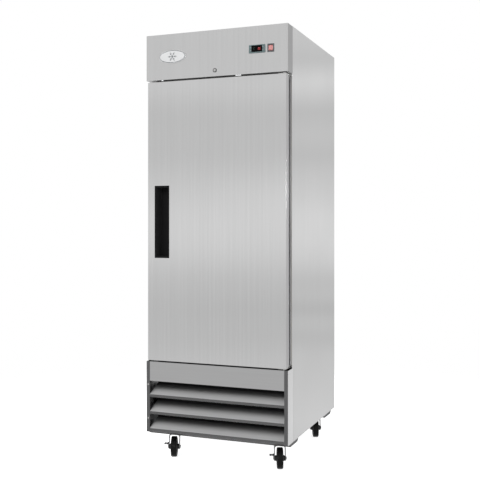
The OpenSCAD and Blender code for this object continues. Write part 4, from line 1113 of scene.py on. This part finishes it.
def make_compressor():
    """A domed shell with a lapped seam on a plate, its terminal cover and its two pipes."""
    low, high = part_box("compressor")
    cx, cy = (low.x + high.x) / 2, high.y - 95 * MM
    foot, r = low.z + 14 * MM, 88 * MM
    bend, dome, lap = 12 * MM, 42 * MM, 3 * MM
    seam = foot + (high.z - foot) * 0.55
    outline = [(0, foot), (r - bend, foot)] + arc((r - bend, foot + bend), bend, -60, 0, 2)
    outline += [(r, seam - 4 * MM), (r, seam - 3 * MM), (r - 2.5 * MM, seam), (r - lap, seam + 2 * MM)]
    outline += arc((r - lap - dome, high.z - dome), dome, 0, 90, 6) + [(0, high.z)]
    stand_for(lathed("compressor_shell", outline, (cx, cy, 0), "z", 72, 40), "compressor")
    base = 95 * MM
    plate_z0, plate_z1 = low.z + 9 * MM, low.z + 13 * MM
    plate = rounded_block("compressor_feet", (cx - base, cy - base, plate_z0),
                          (cx + base, cy + base, plate_z1), 1.2 * MM)
    extra(plate, "cabinet", "compressor_black")
    mount = 80 * MM
    for sx in SIDES:
        for sy in SIDES:
            tag = ("%d_%d" % (sx, sy)).replace("-", "n")
            compressor_mount((cx + sx * mount, cy + sy * mount, low.z), tag, plate_z1)
    box = rounded_block("terminal_cover", (cx - 35 * MM, low.y, low.z + 60 * MM),
                        (cx + 35 * MM, cy - 70 * MM, low.z + 140 * MM), 4 * MM, 3)
    extra(box, "cabinet", "dark_plastic")

    z = low.z + 172 * MM
    c_low, c_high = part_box("condenser_coil")
    hot = [(cx + u, cy + v, z + w) for u, v, w in mm((-60, -30, 0), (-100, -40, 14), (-112, -150, 20))]
    hot += [(c_high.x - 4 * MM, c_high.y + 70 * MM, z + 6 * MM),
            (c_high.x - 8 * MM, (c_low.y + c_high.y) / 2 + 14 * MM, c_high.z - 20 * MM)]
    extra(tube("discharge_pipe", smooth_line(hot), 3.2 * MM), "cabinet", "coil_fins", "copper")
    cold = [(cx + u, cy + v, z + w) for u, v, w in mm((40, 50, 0), (60, 90, 20), (60, 130, 60))]
    cold += [(cx + 60 * MM, cy + 140 * MM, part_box("back_panel")[0].z - 2 * MM)]
    extra(tube("suction_pipe", smooth_line(cold), 5 * MM), "cabinet", "coil_fins", "copper")


def make_unit():
    finned_coil("condenser_coil", "condenser", 110)
    make_fan("condenser_fan", "condenser_fan_rotor", "black_plastic", 98 * MM)
    make_compressor()
    softened("fan_shroud", 0.6, "rail_paint", name="shroud_duct")
    softened("condensate_pan", 1.2, name="drain_pan", segments=3)
    softened("fan_motors", 1.0, name="fan_motor_sets")
    softened("cord_gland", 0.6, name="cord_gland_bush")
    low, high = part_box("rear_grille")
    x, end = high.x - 14 * MM, 20 * MM
    for side, tag in HANDS:
        for z in (low.z + end, (low.z + high.z) / 2, high.z - end):
            name = "rear_screw_%s_%d" % (tag, round(z * 1000))
            extra(pan_head(name, (side * x, high.y, z), 4 * MM, 1.8 * MM, 1), "cabinet", "zinc_plate")


make_unit()


# ---------- Inside the cabinet ----------

def make_shelves():
    """Three shelves of round wires, bent down over the front rod."""
    low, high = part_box("wire_shelves")
    rod, wire = 3.9 * MM, 1.95 * MM
    count, pitch = 18, 31 * MM
    frame_low, frame_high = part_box("front_frame")
    step = (frame_high.z - frame_low.z - 120 * MM) / 4
    x0, x1, y0, y1 = low.x + rod, high.x - rod, low.y + rod, high.y - rod
    corners = filleted([(x0, y0), (x1, y0), (x1, y1), (x0, y1)], 18 * MM, 6, True)
    for i in range(3):
        z = low.z + i * step + rod
        parts = [tube("rim", [(u, v, z) for u, v in corners], rod, 14, True)]
        middle = ((y0 + y1) / 2, z - 0.5 * MM)
        parts.append(tube("bar", [(x0, *middle), (x1, *middle)], rod * 0.85, 12))
        top = z + rod + wire * 0.7
        for k in range(count):
            x = (k - (count - 1) / 2) * pitch
            line = [(x, y0 - rod * 0.6, z - 1 * MM), (x, y0 - rod * 0.9, z + 2 * MM), (x, y0 + 1 * MM, top),
                    (x, y0 + 8 * MM, top), (x, y1 - 8 * MM, top), (x, y1, top)]
            parts.append(tube("wire", line, wire, 10))
        stand_for(join("wire_shelf_%d" % (i + 1), parts), "wire_shelves", first=i == 0)


def make_fan_guard():
    """Wire rings and spokes in front of the evaporator's fan."""
    low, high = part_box("evaporator_cover")
    y, z = low.y - 1.5 * MM, (low.z + high.z) / 2
    steps = 64

    def at(radius, angle):
        return (radius * math.cos(angle), y, z + radius * math.sin(angle))

    for k in range(5):
        line = [at((16 + k * 13) * MM, 2 * math.pi * i / steps) for i in range(steps)]
        extra(tube("fan_guard_ring_%d" % k, line, 1.3 * MM, 8, True), "cabinet", "coated_wire")
    for k in range(4):
        line = [at(r, math.radians(45 + 90 * k)) for r in (14 * MM, 84 * MM)]
        extra(tube("fan_guard_spoke_%d" % k, line, 1.5 * MM, 8), "cabinet", "coated_wire")


def make_interior():
    make_shelves()
    finned_coil("evaporator_coil", "evaporator", 90)
    make_fan("evaporator_fan", "evaporator_fan_rotor", "dark_plastic", 70 * MM)
    softened("shelf_pilasters", 0.5, name="shelf_rails")
    softened("shelf_clips", 0.6, name="shelf_hooks")
    softened("evaporator_cover", 0.4, name="evaporator_housing")
    softened("interior_lamp", 4, name="lamp_cover", segments=4)
    low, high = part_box("interior_lamp")
    proud = 0.5 * MM
    for side, tag in HANDS:
        x = sorted((side * high.x, side * (high.x + 9 * MM)))
        cap = rounded_block("lamp_cap_" + tag, (x[0], low.y - proud, low.z - proud),
                            (x[1], high.y + proud, high.z), 2 * MM, 3)
        extra(cap, "cabinet", "lamp_white", "dark_plastic")
    make_fan_guard()


make_interior()


# ---------- The casters ----------

def turned(obj, joint):
    """Moves an object made about X at the origin to a wheel's axle."""
    axle = joint["axis"]
    turn = Matrix.Rotation(math.atan2(axle[1], axle[0]), 4, "Z")
    obj.data.transform(Matrix.Translation(joint["pos_m"]) @ turn)
    return obj


def mirrored_side(outline):
    """An outline on the other side of a wheel's middle."""
    return [(r, -across) for r, across in outline]


def make_caster(tag, braked):
    """A wheel with a rounded tyre and a dished hub, its fork and its brake lever."""
    wheel, fork = "wheel_" + tag, "fork_" + tag
    joint = JOINT_OF[BODY_OF[wheel]]
    r, half, hub_half, shoulder = 50 * MM, 15 * MM, 23.6 * MM, 6 * MM
    # Half outlines in (radius, distance from the wheel's middle), from the outside inwards
    tyre_side = mm((43, 15), (40, 14.2), (38, 13))
    hub_side = mm((11, 23.6), (13, 21.6), (15, 9), (31, 7), (34, 12), (38.2, 12.6))
    tread = arc((r - shoulder, -half + shoulder), shoulder, -90, 0, 5) \
        + arc((r - shoulder, half - shoulder), shoulder, 0, 90, 5)
    tyre = mirrored_side(tyre_side)[::-1] + tread + tyre_side
    stand_for(turned(lathed(wheel + "_tyre", tyre, (0, 0, 0), "x", 72), joint), wheel)
    bore = 5.06 * MM
    hub = [(bore, -hub_half)] + mirrored_side(hub_side) + hub_side[::-1] + [(bore, hub_half)]
    core = turned(lathed(wheel + "_hub", hub, (0, 0, 0), "x", 60), joint)
    extra(core, BODY_OF[wheel], "tyre_rubber", "hub_plastic")
    softened(fork, 0.7, "fork_plate", 3, name="caster_fork_" + tag)
    if braked:
        side = tag.split("_")[1]
        softened("brake_lever_" + side, 0.8, name="brake_pedal_" + side, segments=3)


def make_casters():
    for end in ("front", "rear"):
        for side in ("left", "right"):
            make_caster("%s_%s" % (end, side), end == "front")
    softened("caster_plates", 0.8, name="caster_top_plates")
    softened("caster_bolts", 0.6, name="caster_bolt_set")
    softened("caster_rails", 0.8, name="caster_cross_rails")


make_casters()
